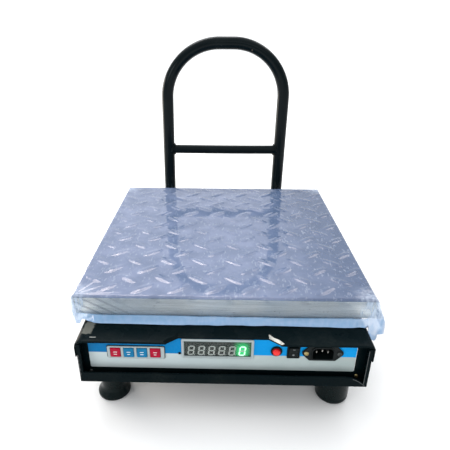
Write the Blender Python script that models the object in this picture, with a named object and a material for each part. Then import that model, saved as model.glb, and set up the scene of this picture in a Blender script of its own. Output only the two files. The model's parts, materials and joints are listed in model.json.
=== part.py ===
"""Platform shipping scale with a rear push handle, as separate sub-parts.

Metres, +Z up. The origin is on the floor under the platform's centre: +X is the
operator's right and +Y runs from the control panel at the front to the handle at the back.
"""

import math

import bmesh
import bpy
from mathutils import Matrix, Vector

# ---- driving dimensions -------------------------------------------------------------
GAP = 0.0003                      # clearance between pieces that touch

PLATFORM_SIDE = 0.380
PLATFORM_TOP = 0.148              # flat of the chequer plate, under its lugs
PLATE = 0.003
SKIRT_BOTTOM = 0.1204
LUG_LENGTH = 0.030
LUG_WIDTH = 0.0074
LUG_HEIGHT = 0.0012
LUG_PITCH = 0.0465                # between lugs of the same lean
LUG_LEAN = math.radians(38)
LUG_ORIGIN = (0.0120, -0.0095)    # centre of a lug that leans left, from which the grids run

FILM = 0.0005
FILM_TOP = PLATFORM_TOP + LUG_HEIGHT + GAP + FILM
FILM_HEM = 0.1152
FILM_HEM_X = 0.1950
FILM_HEM_Y = 0.2015
FILM_CORNER = 0.012               # how far a corner's fold starts from the corner
# how far each corner's bag stands out and how far it droops, by the corner's signs in X and Y
FILM_BAGS = {(1, -1): (0.0105, 0.020), (1, 1): (0.007, 0.012),
             (-1, 1): (0.006, 0.011), (-1, -1): (-0.001, 0.009)}

SHEET = 0.0016                    # folded steel of the base
TRAY_X = 0.1762
TRAY_FRONT = -0.2355
TRAY_BACK = 0.205
TRAY_BOTTOM = 0.052
TRAY_WALL_TOP = 0.1095
LIP_TOP = 0.0660
FLANGE_WIDTH = 0.0045

HOOD_TOP = 0.1144
HOOD_FRONT = -0.236
HOOD_BACK = -0.150
HOOD_FLAT_X = 0.1752
HOOD_SKIRT_X = 0.1795
HOOD_SHOULDER = 0.1090
HOOD_SKIRT_BOTTOM = 0.0925
NOTCH_FRONT_X = 0.0680
NOTCH_BACK_X = 0.0545
NOTCH_BACK_Y = -0.2248
FLAP_HEIGHT = 0.0062
FLAP = 0.0012

PANEL_FACE = -0.2230              # front of the steel panel plate
PANEL_X = 0.1742
LABEL = 0.0003
LABEL_FACE = PANEL_FACE - GAP - LABEL
LABEL_LEFT = -0.1655
LABEL_RIGHT = 0.1620
LABEL_BOTTOM = 0.065
LABEL_TOP = 0.1118

KEY_CENTRES = (-0.1320, -0.1157, -0.0994, -0.0831)
KEY_Z = 0.0904
KEY_WIDTH = 0.0127
KEY_HEIGHT = 0.0140
KEY_PROUD = 0.0010
KEYPAD_CENTRE = (-0.1070, 0.0900)
KEYPAD_SIZE = (0.0704, 0.0188)
KEYPAD_RAISE = 0.0016

DISPLAY_CENTRE = (-0.0069, 0.0973)
DISPLAY_SIZE = (0.0880, 0.0292)
DISPLAY_RAISE = 0.0016
WINDOW_SIZE = (0.0812, 0.0228)
DIGIT_BLOCK = (0.0762, 0.0152)
DIGIT_DROP = 0.0036               # of the digits' centre below the window's
LED_DEPTH = 0.0080

LAMP_CENTRE = (-0.0534, 0.0890)
LAMP_RADIUS = 0.0016

BUTTON_CENTRE = (0.0646, 0.0956)
BUTTON_RADIUS = 0.0048
BUTTON_RING_RADIUS = 0.0071
BUTTON_BARREL_RADIUS = 0.0060
BUTTON_PROUD = 0.0058

ROCKER_CENTRE = (0.0852, 0.0962)
ROCKER_SIZE = (0.0156, 0.0212)
ROCKER_THROW = math.radians(20)
ROCKER_PIVOT_Y = LABEL_FACE + 0.0015

INLET_CENTRE = (0.1206, 0.0944)
INLET_FLANGE = 0.0020
INLET_SCREW_PITCH = 0.040
INLET_DEPTH = 0.0200
PIN_PITCH = 0.0070
PIN_EARTH_RISE = 0.0020

FOOT_X = 0.147
FOOT_FRONT_Y = -0.197
FOOT_BACK_Y = 0.175
FOOT_RADIUS = 0.0215
STUD_RADIUS = 0.0050

RAIL = 0.025                      # square tube of the inner frame
RAIL_WALL = 0.002
RAIL_BOTTOM = TRAY_BOTTOM + SHEET + GAP
RAIL_TOP = RAIL_BOTTOM + RAIL

HANDLE_Y = 0.224
HANDLE_X = 0.111
HANDLE_RADIUS = 0.0112
HANDLE_WALL = 0.002
HANDLE_TOP = 0.4187               # centreline of the arch
HANDLE_BOTTOM = 0.058
BEND_RADIUS = 0.098
CROSSBAR_RADIUS = 0.0086
CROSSBAR_Z = 0.2194

CELL_BOTTOM = RAIL_TOP + GAP + 0.004 + GAP
CELL_HEIGHT = 0.040
CELL_LENGTH = 0.150
CELL_WIDTH = 0.030
CELL_END_Y = 0.055                # from the centre to each end's bolts
FRAME_TOP = 0.139                 # weighing frame under the platform
FRAME_PLATE = 0.008
PAD_CORNER = 0.140


# ---- materials ----------------------------------------------------------------------
def material(name, colour, roughness, metallic=0.0):
    """A Principled BSDF with a plain colour."""
    made = bpy.data.materials.new(name)
    made.use_nodes = True
    shader = made.node_tree.nodes["Principled BSDF"]
    shader.inputs["Base Color"].default_value = (*colour, 1.0)
    shader.inputs["Roughness"].default_value = roughness
    shader.inputs["Metallic"].default_value = metallic
    made.diffuse_color = (*colour, 1.0)
    return made


# ---- mesh tools ---------------------------------------------------------------------
def add(name, bm, finish, origin=(0.0, 0.0, 0.0)):
    """Makes the object; its vertices come in world places and its origin is put at origin."""
    bmesh.ops.recalc_face_normals(bm, faces=bm.faces)
    bmesh.ops.translate(bm, verts=bm.verts, vec=-Vector(origin))
    mesh = bpy.data.meshes.new(name)
    bm.to_mesh(mesh)
    bm.free()
    if finish:
        mesh.materials.append(finish)
    made = bpy.data.objects.new(name, mesh)
    made.location = origin
    bpy.context.scene.collection.objects.link(made)
    return made


def box(low, high, bm=None):
    """A closed box between two corners, in a new bmesh or added to bm."""
    bm = bm or bmesh.new()
    centre = (Vector(low) + Vector(high)) / 2
    size = Vector(high) - Vector(low)
    place = Matrix.Translation(centre) @ Matrix.Diagonal((*size, 1.0))
    bmesh.ops.create_cube(bm, size=1.0, matrix=place)
    return bm


def centred(centre_xz, size_xz, front, back, bm=None):
    """A box given by its centre and size in the panel's plane, and its front and back in Y."""
    (x, z), (width, height) = centre_xz, size_xz
    return box((x - width / 2, front, z - height / 2), (x + width / 2, back, z + height / 2), bm)


def prism(outline, axis, low, high, bm=None):
    """Extrudes an outline of the two other axes' coordinates along axis."""
    bm = bm or bmesh.new()

    def at(point, level):
        first, second = point
        spots = {"x": (level, first, second), "y": (first, level, second), "z": (first, second, level)}
        return bm.verts.new(spots[axis])

    bottom = [at(p, low) for p in outline]
    top = [at(p, high) for p in outline]
    bm.faces.new(bottom)
    bm.faces.new(top)
    count = len(outline)
    for i in range(count):
        j = (i + 1) % count
        bm.faces.new((bottom[i], bottom[j], top[j], top[i]))
    return bm


def turned(profile, centre, axis, segments, closed=False, bm=None):
    """Turns a profile of (radius, distance) about axis through centre.

    An open profile starts and ends on the axis; a closed one makes a ring."""
    bm = bm or bmesh.new()
    turn = Vector((0, 0, 1)).rotation_difference(Vector(axis)).to_matrix()

    def ring(radius, distance):
        if radius < 1e-9:
            return [bm.verts.new(Vector(centre) + turn @ Vector((0, 0, distance)))]
        spots = []
        for i in range(segments):
            angle = 2 * math.pi * i / segments
            spot = Vector((radius * math.cos(angle), radius * math.sin(angle), distance))
            spots.append(bm.verts.new(Vector(centre) + turn @ spot))
        return spots

    rings = [ring(*p) for p in profile]
    pairs = list(zip(rings, rings[1:]))
    if closed:
        pairs.append((rings[-1], rings[0]))
    for first, second in pairs:
        for i in range(segments):
            j = (i + 1) % segments
            corners = (first[i % len(first)], first[j % len(first)],
                       second[j % len(second)], second[i % len(second)])
            bm.faces.new(list(dict.fromkeys(corners)))
    return bm


def cylinder(radius, centre, axis, start, end, segments=16, bm=None):
    """A solid cylinder from start to end along axis through centre."""
    return turned([(0, start), (radius, start), (radius, end), (0, end)], centre, axis, segments, bm=bm)


def combine(obj, operation, tool_mesh):
    """Adds a Boolean modifier whose tool is tool_mesh."""
    tool = add(f"{obj.name}_tool_{len(obj.modifiers) + 1}", tool_mesh, None)
    tool.hide_render = True
    tool.display_type = "WIRE"
    modifier = obj.modifiers.new(operation.title(), "BOOLEAN")
    modifier.operation = operation
    modifier.object = tool
    return obj


def cut(obj, tool_mesh):
    """Cuts tool_mesh out of the object."""
    return combine(obj, "DIFFERENCE", tool_mesh)


def join(obj, tool_mesh):
    """Joins tool_mesh to the object."""
    return combine(obj, "UNION", tool_mesh)


def smooth(obj, degrees=35):
    """Shades round surfaces smooth and keeps the sharp edges sharp."""
    obj.data.shade_smooth()
    obj.data.set_sharp_from_angle(angle=math.radians(degrees))
    return obj


def bevel(obj, width, segments=1):
    """Breaks the sharp edges."""
    modifier = obj.modifiers.new("Bevel", "BEVEL")
    modifier.width = width
    modifier.segments = segments
    modifier.limit_method = "ANGLE"
    modifier.angle_limit = math.radians(40)
    return obj


def tube_along(name, finish, axis, ends, centre, size, wall):
    """A rectangular steel tube, open at both ends, along X or Y.

    centre is (the other horizontal axis, Z) and size is (width, height)."""
    (across, z), (width, height) = centre, size
    outer = [(across - width / 2, z - height / 2), (across + width / 2, z + height / 2)]
    inner = [(outer[0][0] + wall, outer[0][1] + wall), (outer[1][0] - wall, outer[1][1] - wall)]
    order = {"x": lambda along, p: (along, p[0], p[1]), "y": lambda along, p: (p[0], along, p[1])}[axis]
    made = add(name, box(order(ends[0], outer[0]), order(ends[1], outer[1])), finish)
    past = 0.01
    return cut(made, box(order(ends[0] - past, inner[0]), order(ends[1] + past, inner[1])))


# ---- platform -----------------------------------------------------------------------
def lug(bm, centre, lean):
    """One raised lug of the chequer pattern: a long lozenge with a flat, narrower top."""
    half, side = LUG_LENGTH / 2, LUG_WIDTH / 2
    foot = [(half, 0), (half * 0.45, side), (-half * 0.45, side),
            (-half, 0), (-half * 0.45, -side), (half * 0.45, -side)]
    turn = Matrix.Rotation(lean, 2)

    def level(share, z):
        return [bm.verts.new((*(Vector(centre) + turn @ (Vector(p) * share)), z)) for p in foot]

    root = level(1.06, PLATFORM_TOP - LUG_HEIGHT / 3)
    crown = level(0.55, PLATFORM_TOP + LUG_HEIGHT)
    bm.faces.new(root)
    bm.faces.new(crown)
    for i in range(6):
        j = (i + 1) % 6
        bm.faces.new((root[i], root[j], crown[j], crown[i]))


def lugs():
    """The two interleaved grids of lugs, which lean opposite ways."""
    bm = bmesh.new()
    steps = int(PLATFORM_SIDE / 2 / LUG_PITCH) + 1
    reach = PLATFORM_SIDE / 2 - LUG_LENGTH / 2
    for lean, shift in ((-LUG_LEAN, 0.0), (LUG_LEAN, LUG_PITCH / 2)):
        for i in range(-steps, steps + 1):
            for j in range(-steps, steps + 1):
                x = LUG_ORIGIN[0] + shift + i * LUG_PITCH
                y = LUG_ORIGIN[1] + shift + j * LUG_PITCH
                if abs(x) < reach and abs(y) < reach:
                    lug(bm, (x, y), lean)
    return bm


def platform_pan(finish):
    """Chequer plate folded down on its four sides."""
    half = PLATFORM_SIDE / 2
    inner = half - PLATE
    pan = add("platform_pan", box((-half, -half, SKIRT_BOTTOM), (half, half, PLATFORM_TOP)), finish)
    cut(pan, box((-inner, -inner, SKIRT_BOTTOM - PLATE), (inner, inner, PLATFORM_TOP - PLATE)))
    join(pan, lugs())


def film_ring(bm, half_x, half_y, z, fold, out=0.0, down=0.0):
    """Twelve points round the platform, three at each corner, the middle one pulled out and down.

    out and down are shares of each corner's own bag and droop."""
    spots = []
    for (sx, sy), (bag, droop) in FILM_BAGS.items():
        bag, droop = bag * out, droop * down
        along_x = (sx * (half_x - fold), sy * half_y, z)
        corner = (sx * (half_x + bag), sy * (half_y + bag / 2), z - droop)
        along_y = (sx * half_x, sy * (half_y - fold), z)
        three = [along_x, corner, along_y]
        spots += three if sx * sy < 0 else three[::-1]
    return [bm.verts.new(p) for p in spots]


def film_cover(finish):
    """Loose polythene cover over the platform, its hem hanging below the skirt."""
    bm = bmesh.new()
    edge = PLATFORM_SIDE / 2 + 0.0022
    rings = [
        film_ring(bm, edge - 0.001, edge - 0.001, FILM_TOP, FILM_CORNER),
        film_ring(bm, edge, edge, FILM_TOP - 0.001, FILM_CORNER),
        film_ring(bm, edge + 0.0015, edge + 0.003, 0.130, FILM_CORNER, 0.5, 0.33),
        film_ring(bm, FILM_HEM_X, FILM_HEM_Y, FILM_HEM, FILM_CORNER, 1.0, 1.0),
    ]
    bm.faces.new(rings[0])
    for upper, lower in zip(rings, rings[1:]):
        for i in range(12):
            j = (i + 1) % 12
            bm.faces.new((upper[i], upper[j], lower[j], lower[i]))
    bmesh.ops.recalc_face_normals(bm, faces=bm.faces)
    film = add("film_cover", bm, finish)
    thick = film.modifiers.new("Thickness", "SOLIDIFY")
    thick.thickness = FILM
    thick.offset = -1.0
    thick.use_even_offset = True


# ---- weighing frame and load cell ---------------------------------------------------
def weighing_frame(steel, rubber):
    """The spider that carries the platform, its four rubber pads and the spacer on the load cell."""
    reach = PAD_CORNER * math.sqrt(2) + 0.020
    arm = 0.018
    corner = [(reach, -arm), (reach, arm), (arm, arm)]
    outline = []
    for quarter in range(4):
        outline += [Matrix.Rotation(math.pi / 4 + quarter * math.pi / 2, 2) @ Vector(p) for p in corner]
    low = FRAME_TOP - FRAME_PLATE
    frame = add("weigh_frame", prism(outline, "z", low, FRAME_TOP), steel)
    join(frame, box((-0.045, -0.080, low), (0.045, 0.080, FRAME_TOP)))
    for sx, across in ((-1, "left"), (1, "right")):
        for sy, along in ((-1, "front"), (1, "rear")):
            spot = (sx * PAD_CORNER, sy * PAD_CORNER, FRAME_TOP + GAP)
            pad = cylinder(0.015, spot, (0, 0, 1), 0.0, PLATFORM_TOP - PLATE - FRAME_TOP - 2 * GAP)
            smooth(add(f"platform_pad_{along}_{across}", pad, rubber))
    top = CELL_BOTTOM + CELL_HEIGHT
    spacer = box((-0.015, -CELL_END_Y - 0.020, top + GAP), (0.015, -CELL_END_Y + 0.020, low - GAP))
    add("load_cell_spacer", spacer, steel)


def load_cell(aluminium, steel):
    """Single-point load cell, its bottom shim, and the two bolts that hold its fixed end."""
    half = CELL_LENGTH / 2
    middle = CELL_BOTTOM + CELL_HEIGHT / 2
    body = box((-CELL_WIDTH / 2, -half, CELL_BOTTOM), (CELL_WIDTH / 2, half, CELL_BOTTOM + CELL_HEIGHT))
    cell = add("load_cell", body, aluminium)
    eye, spread, slot = 0.015, 0.018, 0.004
    outline = []
    start = math.asin(slot / eye)
    for side in (1, -1):
        for i in range(11):
            angle = (math.pi - start) * (1 - i / 5)
            spot = Vector((spread + eye * math.cos(angle), eye * math.sin(angle)))
            outline.append(side * spot)
    outline = [(y, middle + z) for y, z in outline]
    cut(cell, prism(outline, "x", -CELL_WIDTH, CELL_WIDTH))
    shim = box((-0.015, CELL_END_Y - 0.020, RAIL_TOP + GAP), (0.015, half, CELL_BOTTOM - GAP))
    shim = add("load_cell_shim", shim, steel)
    support = bpy.data.objects["load_cell_support"]
    for number, y in enumerate((CELL_END_Y - 0.010, CELL_END_Y + 0.010), 1):
        for piece in (cell, shim, support):
            cut(piece, cylinder(0.0044, (0, y, 0), (0, 0, 1), RAIL_TOP - 0.010, CELL_BOTTOM + 0.017))
        head_top = RAIL_TOP - 0.003 - GAP
        profile = [(0, head_top - 0.005), (0.0065, head_top - 0.005), (0.0065, head_top),
                   (0.004, head_top), (0.004, CELL_BOTTOM + 0.016), (0, CELL_BOTTOM + 0.016)]
        add(f"load_cell_bolt_{number}", turned(profile, (0, y, 0), (0, 0, 1), 12), steel)


# ---- base ---------------------------------------------------------------------------
def foot_places():
    """(name, x, y) of the four feet."""
    for sy, along in ((FOOT_FRONT_Y, "front"), (FOOT_BACK_Y, "rear")):
        for sx, across in ((-FOOT_X, "left"), (FOOT_X, "right")):
            yield f"foot_{along}_{across}", sx, sy


def stud_holes():
    """Clearance holes for the studs of the feet."""
    bm = bmesh.new()
    for _, x, y in foot_places():
        cylinder(STUD_RADIUS + 0.0006, (x, y, 0), (0, 0, 1), TRAY_BOTTOM - 0.010, RAIL_BOTTOM + 0.005, bm=bm)
    return bm


def base_tray(paint):
    """Folded tray: floor, side and rear walls, and the flanges round the front opening.

    The lip along its foot has its right-hand corner cut away in a curve."""
    tray = add("base_tray", box((-TRAY_X, TRAY_FRONT, TRAY_BOTTOM), (TRAY_X, TRAY_BACK, TRAY_WALL_TOP)), paint)
    inside = TRAY_X - SHEET
    above = TRAY_WALL_TOP + 0.01
    cut(tray, box((-inside, TRAY_FRONT + SHEET, TRAY_BOTTOM + SHEET), (inside, TRAY_BACK - SHEET, above)))
    opening = TRAY_X - FLANGE_WIDTH
    cut(tray, box((-opening, TRAY_FRONT - 0.01, LIP_TOP), (opening, TRAY_FRONT + 0.01, above)))
    reach = TRAY_FRONT + SHEET + GAP
    top, end = LIP_TOP + GAP, opening + GAP
    corner = [(0.1480, top), (0.1580, 0.0645), (0.1650, 0.0610), (end, 0.0555), (end, top)]
    cut(tray, prism(corner, "y", TRAY_FRONT - 0.01, reach))
    cut(tray, stud_holes())


def hood(paint, bare):
    """Cover over the panel: flat top with a display notch, and side skirts outside the tray."""
    low = HOOD_TOP - SHEET
    outer = [(HOOD_FLAT_X, HOOD_TOP), (HOOD_SKIRT_X, HOOD_SHOULDER), (HOOD_SKIRT_X, HOOD_SKIRT_BOTTOM)]
    inner = [(HOOD_SKIRT_X - SHEET, HOOD_SKIRT_BOTTOM), (HOOD_SKIRT_X - SHEET, HOOD_SHOULDER - SHEET / 2),
             (HOOD_FLAT_X - SHEET / 2, low)]
    right = outer + inner
    left = [(-x, z) for x, z in reversed(right)]
    cover = add("hood", prism(right + left, "y", HOOD_FRONT, HOOD_BACK), paint)
    slope = (NOTCH_FRONT_X - NOTCH_BACK_X) / (NOTCH_BACK_Y - HOOD_FRONT)
    ahead = 0.004
    wide = NOTCH_FRONT_X + slope * ahead
    notch = [(-wide, HOOD_FRONT - ahead), (wide, HOOD_FRONT - ahead),
             (NOTCH_BACK_X, NOTCH_BACK_Y), (-NOTCH_BACK_X, NOTCH_BACK_Y)]
    cut(cover, prism(notch, "z", low - 0.01, HOOD_TOP + 0.01))
    for side, across, finish in ((-1, "left", paint), (1, "right", bare)):
        strip = [(NOTCH_FRONT_X, HOOD_FRONT + 0.0006), (NOTCH_FRONT_X + FLAP, HOOD_FRONT + 0.0006),
                 (NOTCH_BACK_X + FLAP, NOTCH_BACK_Y), (NOTCH_BACK_X, NOTCH_BACK_Y)]
        strip = [(side * x, y) for x, y in strip]
        add(f"hood_flap_{across}", prism(strip, "z", HOOD_TOP + GAP, HOOD_TOP + FLAP_HEIGHT), finish)


def inner_frame(steel):
    """Square-tube rails and cross members, and the channel that carries the load cell."""
    middle = (RAIL_BOTTOM + RAIL_TOP) / 2
    size = (RAIL, RAIL)
    for side, across in ((-1, "left"), (1, "right")):
        rail = tube_along(f"rail_{across}", steel, "y", (PANEL_FACE + 0.008, TRAY_BACK - SHEET - GAP),
                          (side * FOOT_X, middle), size, RAIL_WALL)
        cut(rail, stud_holes())
    ends = (-FOOT_X + RAIL / 2 + GAP, FOOT_X - RAIL / 2 - GAP)
    for y, along in ((-0.100, "front"), (0.150, "rear")):
        tube_along(f"cross_member_{along}", steel, "x", ends, (y, middle), size, RAIL_WALL)
    thick, near, far = 0.003, CELL_END_Y - 0.025, CELL_END_Y + 0.025
    channel = [(near, RAIL_BOTTOM), (near + thick, RAIL_BOTTOM), (near + thick, RAIL_TOP - thick),
               (far - thick, RAIL_TOP - thick), (far - thick, RAIL_BOTTOM), (far, RAIL_BOTTOM),
               (far, RAIL_TOP), (near, RAIL_TOP)]
    add("load_cell_support", prism(channel, "x", *ends), steel)


def foot(name, x, y, flared, rubber, steel):
    """Levelling foot: a rubber body round the head of a threaded stud."""
    top = TRAY_BOTTOM - GAP
    bore, depth = STUD_RADIUS + GAP, 0.022
    if flared:
        neck = FOOT_RADIUS - 0.0055
        outside = [(FOOT_RADIUS - 0.001, 0), (FOOT_RADIUS, 0.001), (FOOT_RADIUS, 0.004),
                   (neck + 0.0015, 0.009), (neck, 0.014), (neck, top - 0.001), (neck - 0.001, top)]
    else:
        outside = [(FOOT_RADIUS - 0.004, 0), (FOOT_RADIUS - 0.001, 0.002), (FOOT_RADIUS, 0.006),
                   (FOOT_RADIUS, top - 0.001), (FOOT_RADIUS - 0.001, top)]
    profile = [(0, 0), *outside, (bore, top), (bore, top - depth), (0, top - depth)]
    smooth(add(f"{name}_rubber", turned(profile, (x, y, 0), (0, 0, 1), 24), rubber, (x, y, 0)))
    low, high = top - depth + GAP, RAIL_TOP - 0.005
    chamfer = 0.001
    screw = [(0, low), (STUD_RADIUS, low), (STUD_RADIUS, high - chamfer), (STUD_RADIUS - chamfer, high), (0, high)]
    smooth(add(f"{name}_stud", turned(screw, (x, y, 0), (0, 0, 1), 16), steel, (x, y, 0)))


def electronics(black, green, copper):
    """Battery, main board on its spacers, and the mains transformer, on the tray's floor."""
    floor = TRAY_BOTTOM + SHEET + GAP
    bevel(add("battery", box((-0.130, -0.185, floor), (-0.029, -0.115, floor + 0.047)), black), 0.002)
    board_low = floor + 0.008
    low, high = (-0.018, -0.190), (0.062, -0.118)
    board = add("main_board", box((*low, board_low), (*high, board_low + SHEET)), green)
    inset = 0.005
    posts = bmesh.new()
    for x in (low[0] + inset, high[0] - inset):
        for y in (low[1] + inset, high[1] - inset):
            cylinder(0.003, (x, y, 0), (0, 0, 1), floor, board_low + SHEET / 2, 10, posts)
    join(board, posts)
    core = add("transformer", box((0.072, -0.180, floor), (0.116, -0.145, floor + 0.036)), copper)
    join(core, box((0.079, -0.188, floor + 0.008), (0.109, -0.137, floor + 0.028)))


# ---- control panel ------------------------------------------------------------------
def panel_openings(spare):
    """Everything that passes through the panel plate and its label, grown by spare."""
    front, back = PANEL_FACE - 0.005, PANEL_FACE + 0.008
    bm = bmesh.new()
    for x in KEY_CENTRES:
        centred((x, KEY_Z), (KEY_WIDTH + 2 * spare, KEY_HEIGHT + 2 * spare), front, back, bm)
    centred(DISPLAY_CENTRE, (WINDOW_SIZE[0] + 2 * spare, WINDOW_SIZE[1] + 2 * spare), front, back, bm)
    depth = (0.0, back - front)
    for (x, z), radius in ((LAMP_CENTRE, LAMP_RADIUS), (BUTTON_CENTRE, BUTTON_BARREL_RADIUS)):
        cylinder(radius + spare, (x, front, z), (0, 1, 0), *depth, bm=bm)
    width, height = (ROCKER_SIZE[0] - 0.002, ROCKER_SIZE[1] - 0.002)
    centred(ROCKER_CENTRE, (width + 2 * spare, height + 2 * spare), front, back, bm)
    body = inlet_body_outline(spare)
    prism(body, "y", front, back, bm)
    for side in (-1, 1):
        spot = (INLET_CENTRE[0] + side * INLET_SCREW_PITCH / 2, front, INLET_CENTRE[1])
        cylinder(0.0016 + spare, spot, (0, 1, 0), *depth, bm=bm)
    return bm


def panel(paint, vinyl, brass):
    """The steel panel plate, its printed label, and the two screws at its foot."""
    low = TRAY_BOTTOM + SHEET + GAP
    plate = box((-PANEL_X, PANEL_FACE, low), (PANEL_X, PANEL_FACE + SHEET, HOOD_TOP - SHEET - GAP * 2))
    plate = add("panel_plate", plate, paint)
    cut(plate, panel_openings(0.0004))
    face = box((LABEL_LEFT, LABEL_FACE, LABEL_BOTTOM), (LABEL_RIGHT, LABEL_FACE + LABEL, LABEL_TOP))
    cut(add("panel_label", face, vinyl), panel_openings(0.0004))
    screw_z, head, shank = 0.0578, 0.0026, 0.0014
    for side, across in ((-1, "left"), (1, "right")):
        spot = (side * 0.1662, PANEL_FACE, screw_z)
        cut(plate, cylinder(shank + GAP, spot, (0, 1, 0), -0.002, 0.004, 10))
        profile = [(0, -0.0018), (head * 0.6, -0.0016), (head, -GAP - 0.0004), (head, -GAP),
                   (shank, -GAP), (shank, 0.006), (0, 0.007)]
        smooth(add(f"panel_screw_{across}", turned(profile, spot, (0, 1, 0), 12), brass))


def keypad(frame_finish, red, blue):
    """The raised keypad frame and its four sprung keys."""
    front = LABEL_FACE - GAP - KEYPAD_RAISE
    frame = add("keypad_frame", centred(KEYPAD_CENTRE, KEYPAD_SIZE, front, LABEL_FACE - GAP), frame_finish)
    holes = bmesh.new()
    for x in KEY_CENTRES:
        centred((x, KEY_Z), (KEY_WIDTH + 2 * GAP, KEY_HEIGHT + 2 * GAP), front - 0.01, LABEL_FACE, holes)
    cut(frame, holes)
    for number, (x, finish) in enumerate(zip(KEY_CENTRES, (red, blue, blue, red)), 1):
        key = centred((x, KEY_Z), (KEY_WIDTH, KEY_HEIGHT), front - KEY_PROUD, PANEL_FACE + 0.0098)
        bevel(add(f"key_{number}", key, finish, (x, front - KEY_PROUD, KEY_Z)), 0.0005)


def display(frame_finish, smoked, black, green, lamp):
    """Display bezel, window, LED block and the board behind the panel, and the status lamp."""
    front = LABEL_FACE - GAP - DISPLAY_RAISE
    bezel = add("display_bezel", centred(DISPLAY_CENTRE, DISPLAY_SIZE, front, LABEL_FACE - GAP), frame_finish)
    hole = (WINDOW_SIZE[0] + 2 * GAP, WINDOW_SIZE[1] + 2 * GAP)
    cut(bezel, centred(DISPLAY_CENTRE, hole, front - 0.01, LABEL_FACE))
    back = LABEL_FACE + 0.0002
    add("display_window", centred(DISPLAY_CENTRE, WINDOW_SIZE, back - 0.0012, back), smoked)
    led = (DISPLAY_CENTRE[0], DISPLAY_CENTRE[1] - DIGIT_DROP)
    add("led_display", centred(led, DIGIT_BLOCK, back + GAP, back + GAP + LED_DEPTH), black)
    board_front = PANEL_FACE + 0.0115
    board = box((-0.148, board_front, 0.0792), (0.045, board_front + SHEET, 0.1090))
    add("display_board", board, green)
    profile = [(0, -0.0012), (LAMP_RADIUS * 0.7, -0.0009), (LAMP_RADIUS, 0), (LAMP_RADIUS, 0.006), (0, 0.006)]
    spot = (LAMP_CENTRE[0], LABEL_FACE, LAMP_CENTRE[1])
    smooth(add("status_lamp", turned(profile, spot, (0, 1, 0), 12), lamp))


def push_button(black, red):
    """Round push button: a threaded housing with a bezel ring, and its domed cap on a plunger."""
    x, z = BUTTON_CENTRE
    spot = (x, LABEL_FACE, z)
    bore = BUTTON_RADIUS + GAP
    ring = [(bore, -0.0022), (BUTTON_RING_RADIUS - 0.001, -0.0022), (BUTTON_RING_RADIUS, -0.001),
            (BUTTON_RING_RADIUS, -GAP), (BUTTON_BARREL_RADIUS, -GAP), (BUTTON_BARREL_RADIUS, 0.015), (bore, 0.015)]
    smooth(add("button_housing", turned(ring, spot, (0, 1, 0), 20, closed=True), black))
    crown = 0.0016
    cap = [(0, -BUTTON_PROUD)]
    for share in (0.5, 0.8):
        cap.append((BUTTON_RADIUS * share, -BUTTON_PROUD + crown * share * share))
    cap += [(BUTTON_RADIUS, -BUTTON_PROUD + crown), (BUTTON_RADIUS, 0.008), (0, 0.008)]
    smooth(add("push_button", turned(cap, spot, (0, 1, 0), 20), red, (x, LABEL_FACE - BUTTON_PROUD, z)))


def rocker_switch(black):
    """Mains rocker switch: its snap-in housing and the rocker on its pivot."""
    x, z = ROCKER_CENTRE
    width, height = ROCKER_SIZE
    rim = (LABEL_FACE - 0.0022, LABEL_FACE - GAP)
    housing = add("rocker_housing", centred(ROCKER_CENTRE, ROCKER_SIZE, *rim), black)
    body = (width - 0.002, height - 0.002)
    join(housing, centred(ROCKER_CENTRE, body, LABEL_FACE - 0.001, LABEL_FACE + 0.014))
    well = (width - 0.0036, height - 0.0026)
    cut(housing, centred(ROCKER_CENTRE, well, rim[0] - 0.01, LABEL_FACE + 0.010))
    half = well[0] / 2 - GAP
    tip, brow, waist = 0.0082, 0.0060, 0.0046
    shape = [(-brow, tip), (-waist, 0), (-brow, -tip), (-0.002, -0.0080),
             (0.003, -0.0025), (0.003, 0.0025), (-0.002, 0.0080)]
    tilt = Matrix.Rotation(ROCKER_THROW / 2, 2)
    shape = [tilt @ Vector(p) + Vector((ROCKER_PIVOT_Y, z)) for p in shape]
    add("power_rocker", prism(shape, "x", x - half, x + half), black, (x, ROCKER_PIVOT_Y, z))


def inlet_body_outline(spare=0.0):
    """Outline of the inlet's body in the panel's plane: a rectangle with its top corners cut off."""
    x, z = INLET_CENTRE
    half, high, corner = 0.0136 + spare, 0.0098 + spare, 0.004
    return [(x - half, z - high), (x + half, z - high), (x + half, z + high - corner),
            (x + half - corner, z + high), (x - half + corner, z + high), (x - half, z + high - corner)]


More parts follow.
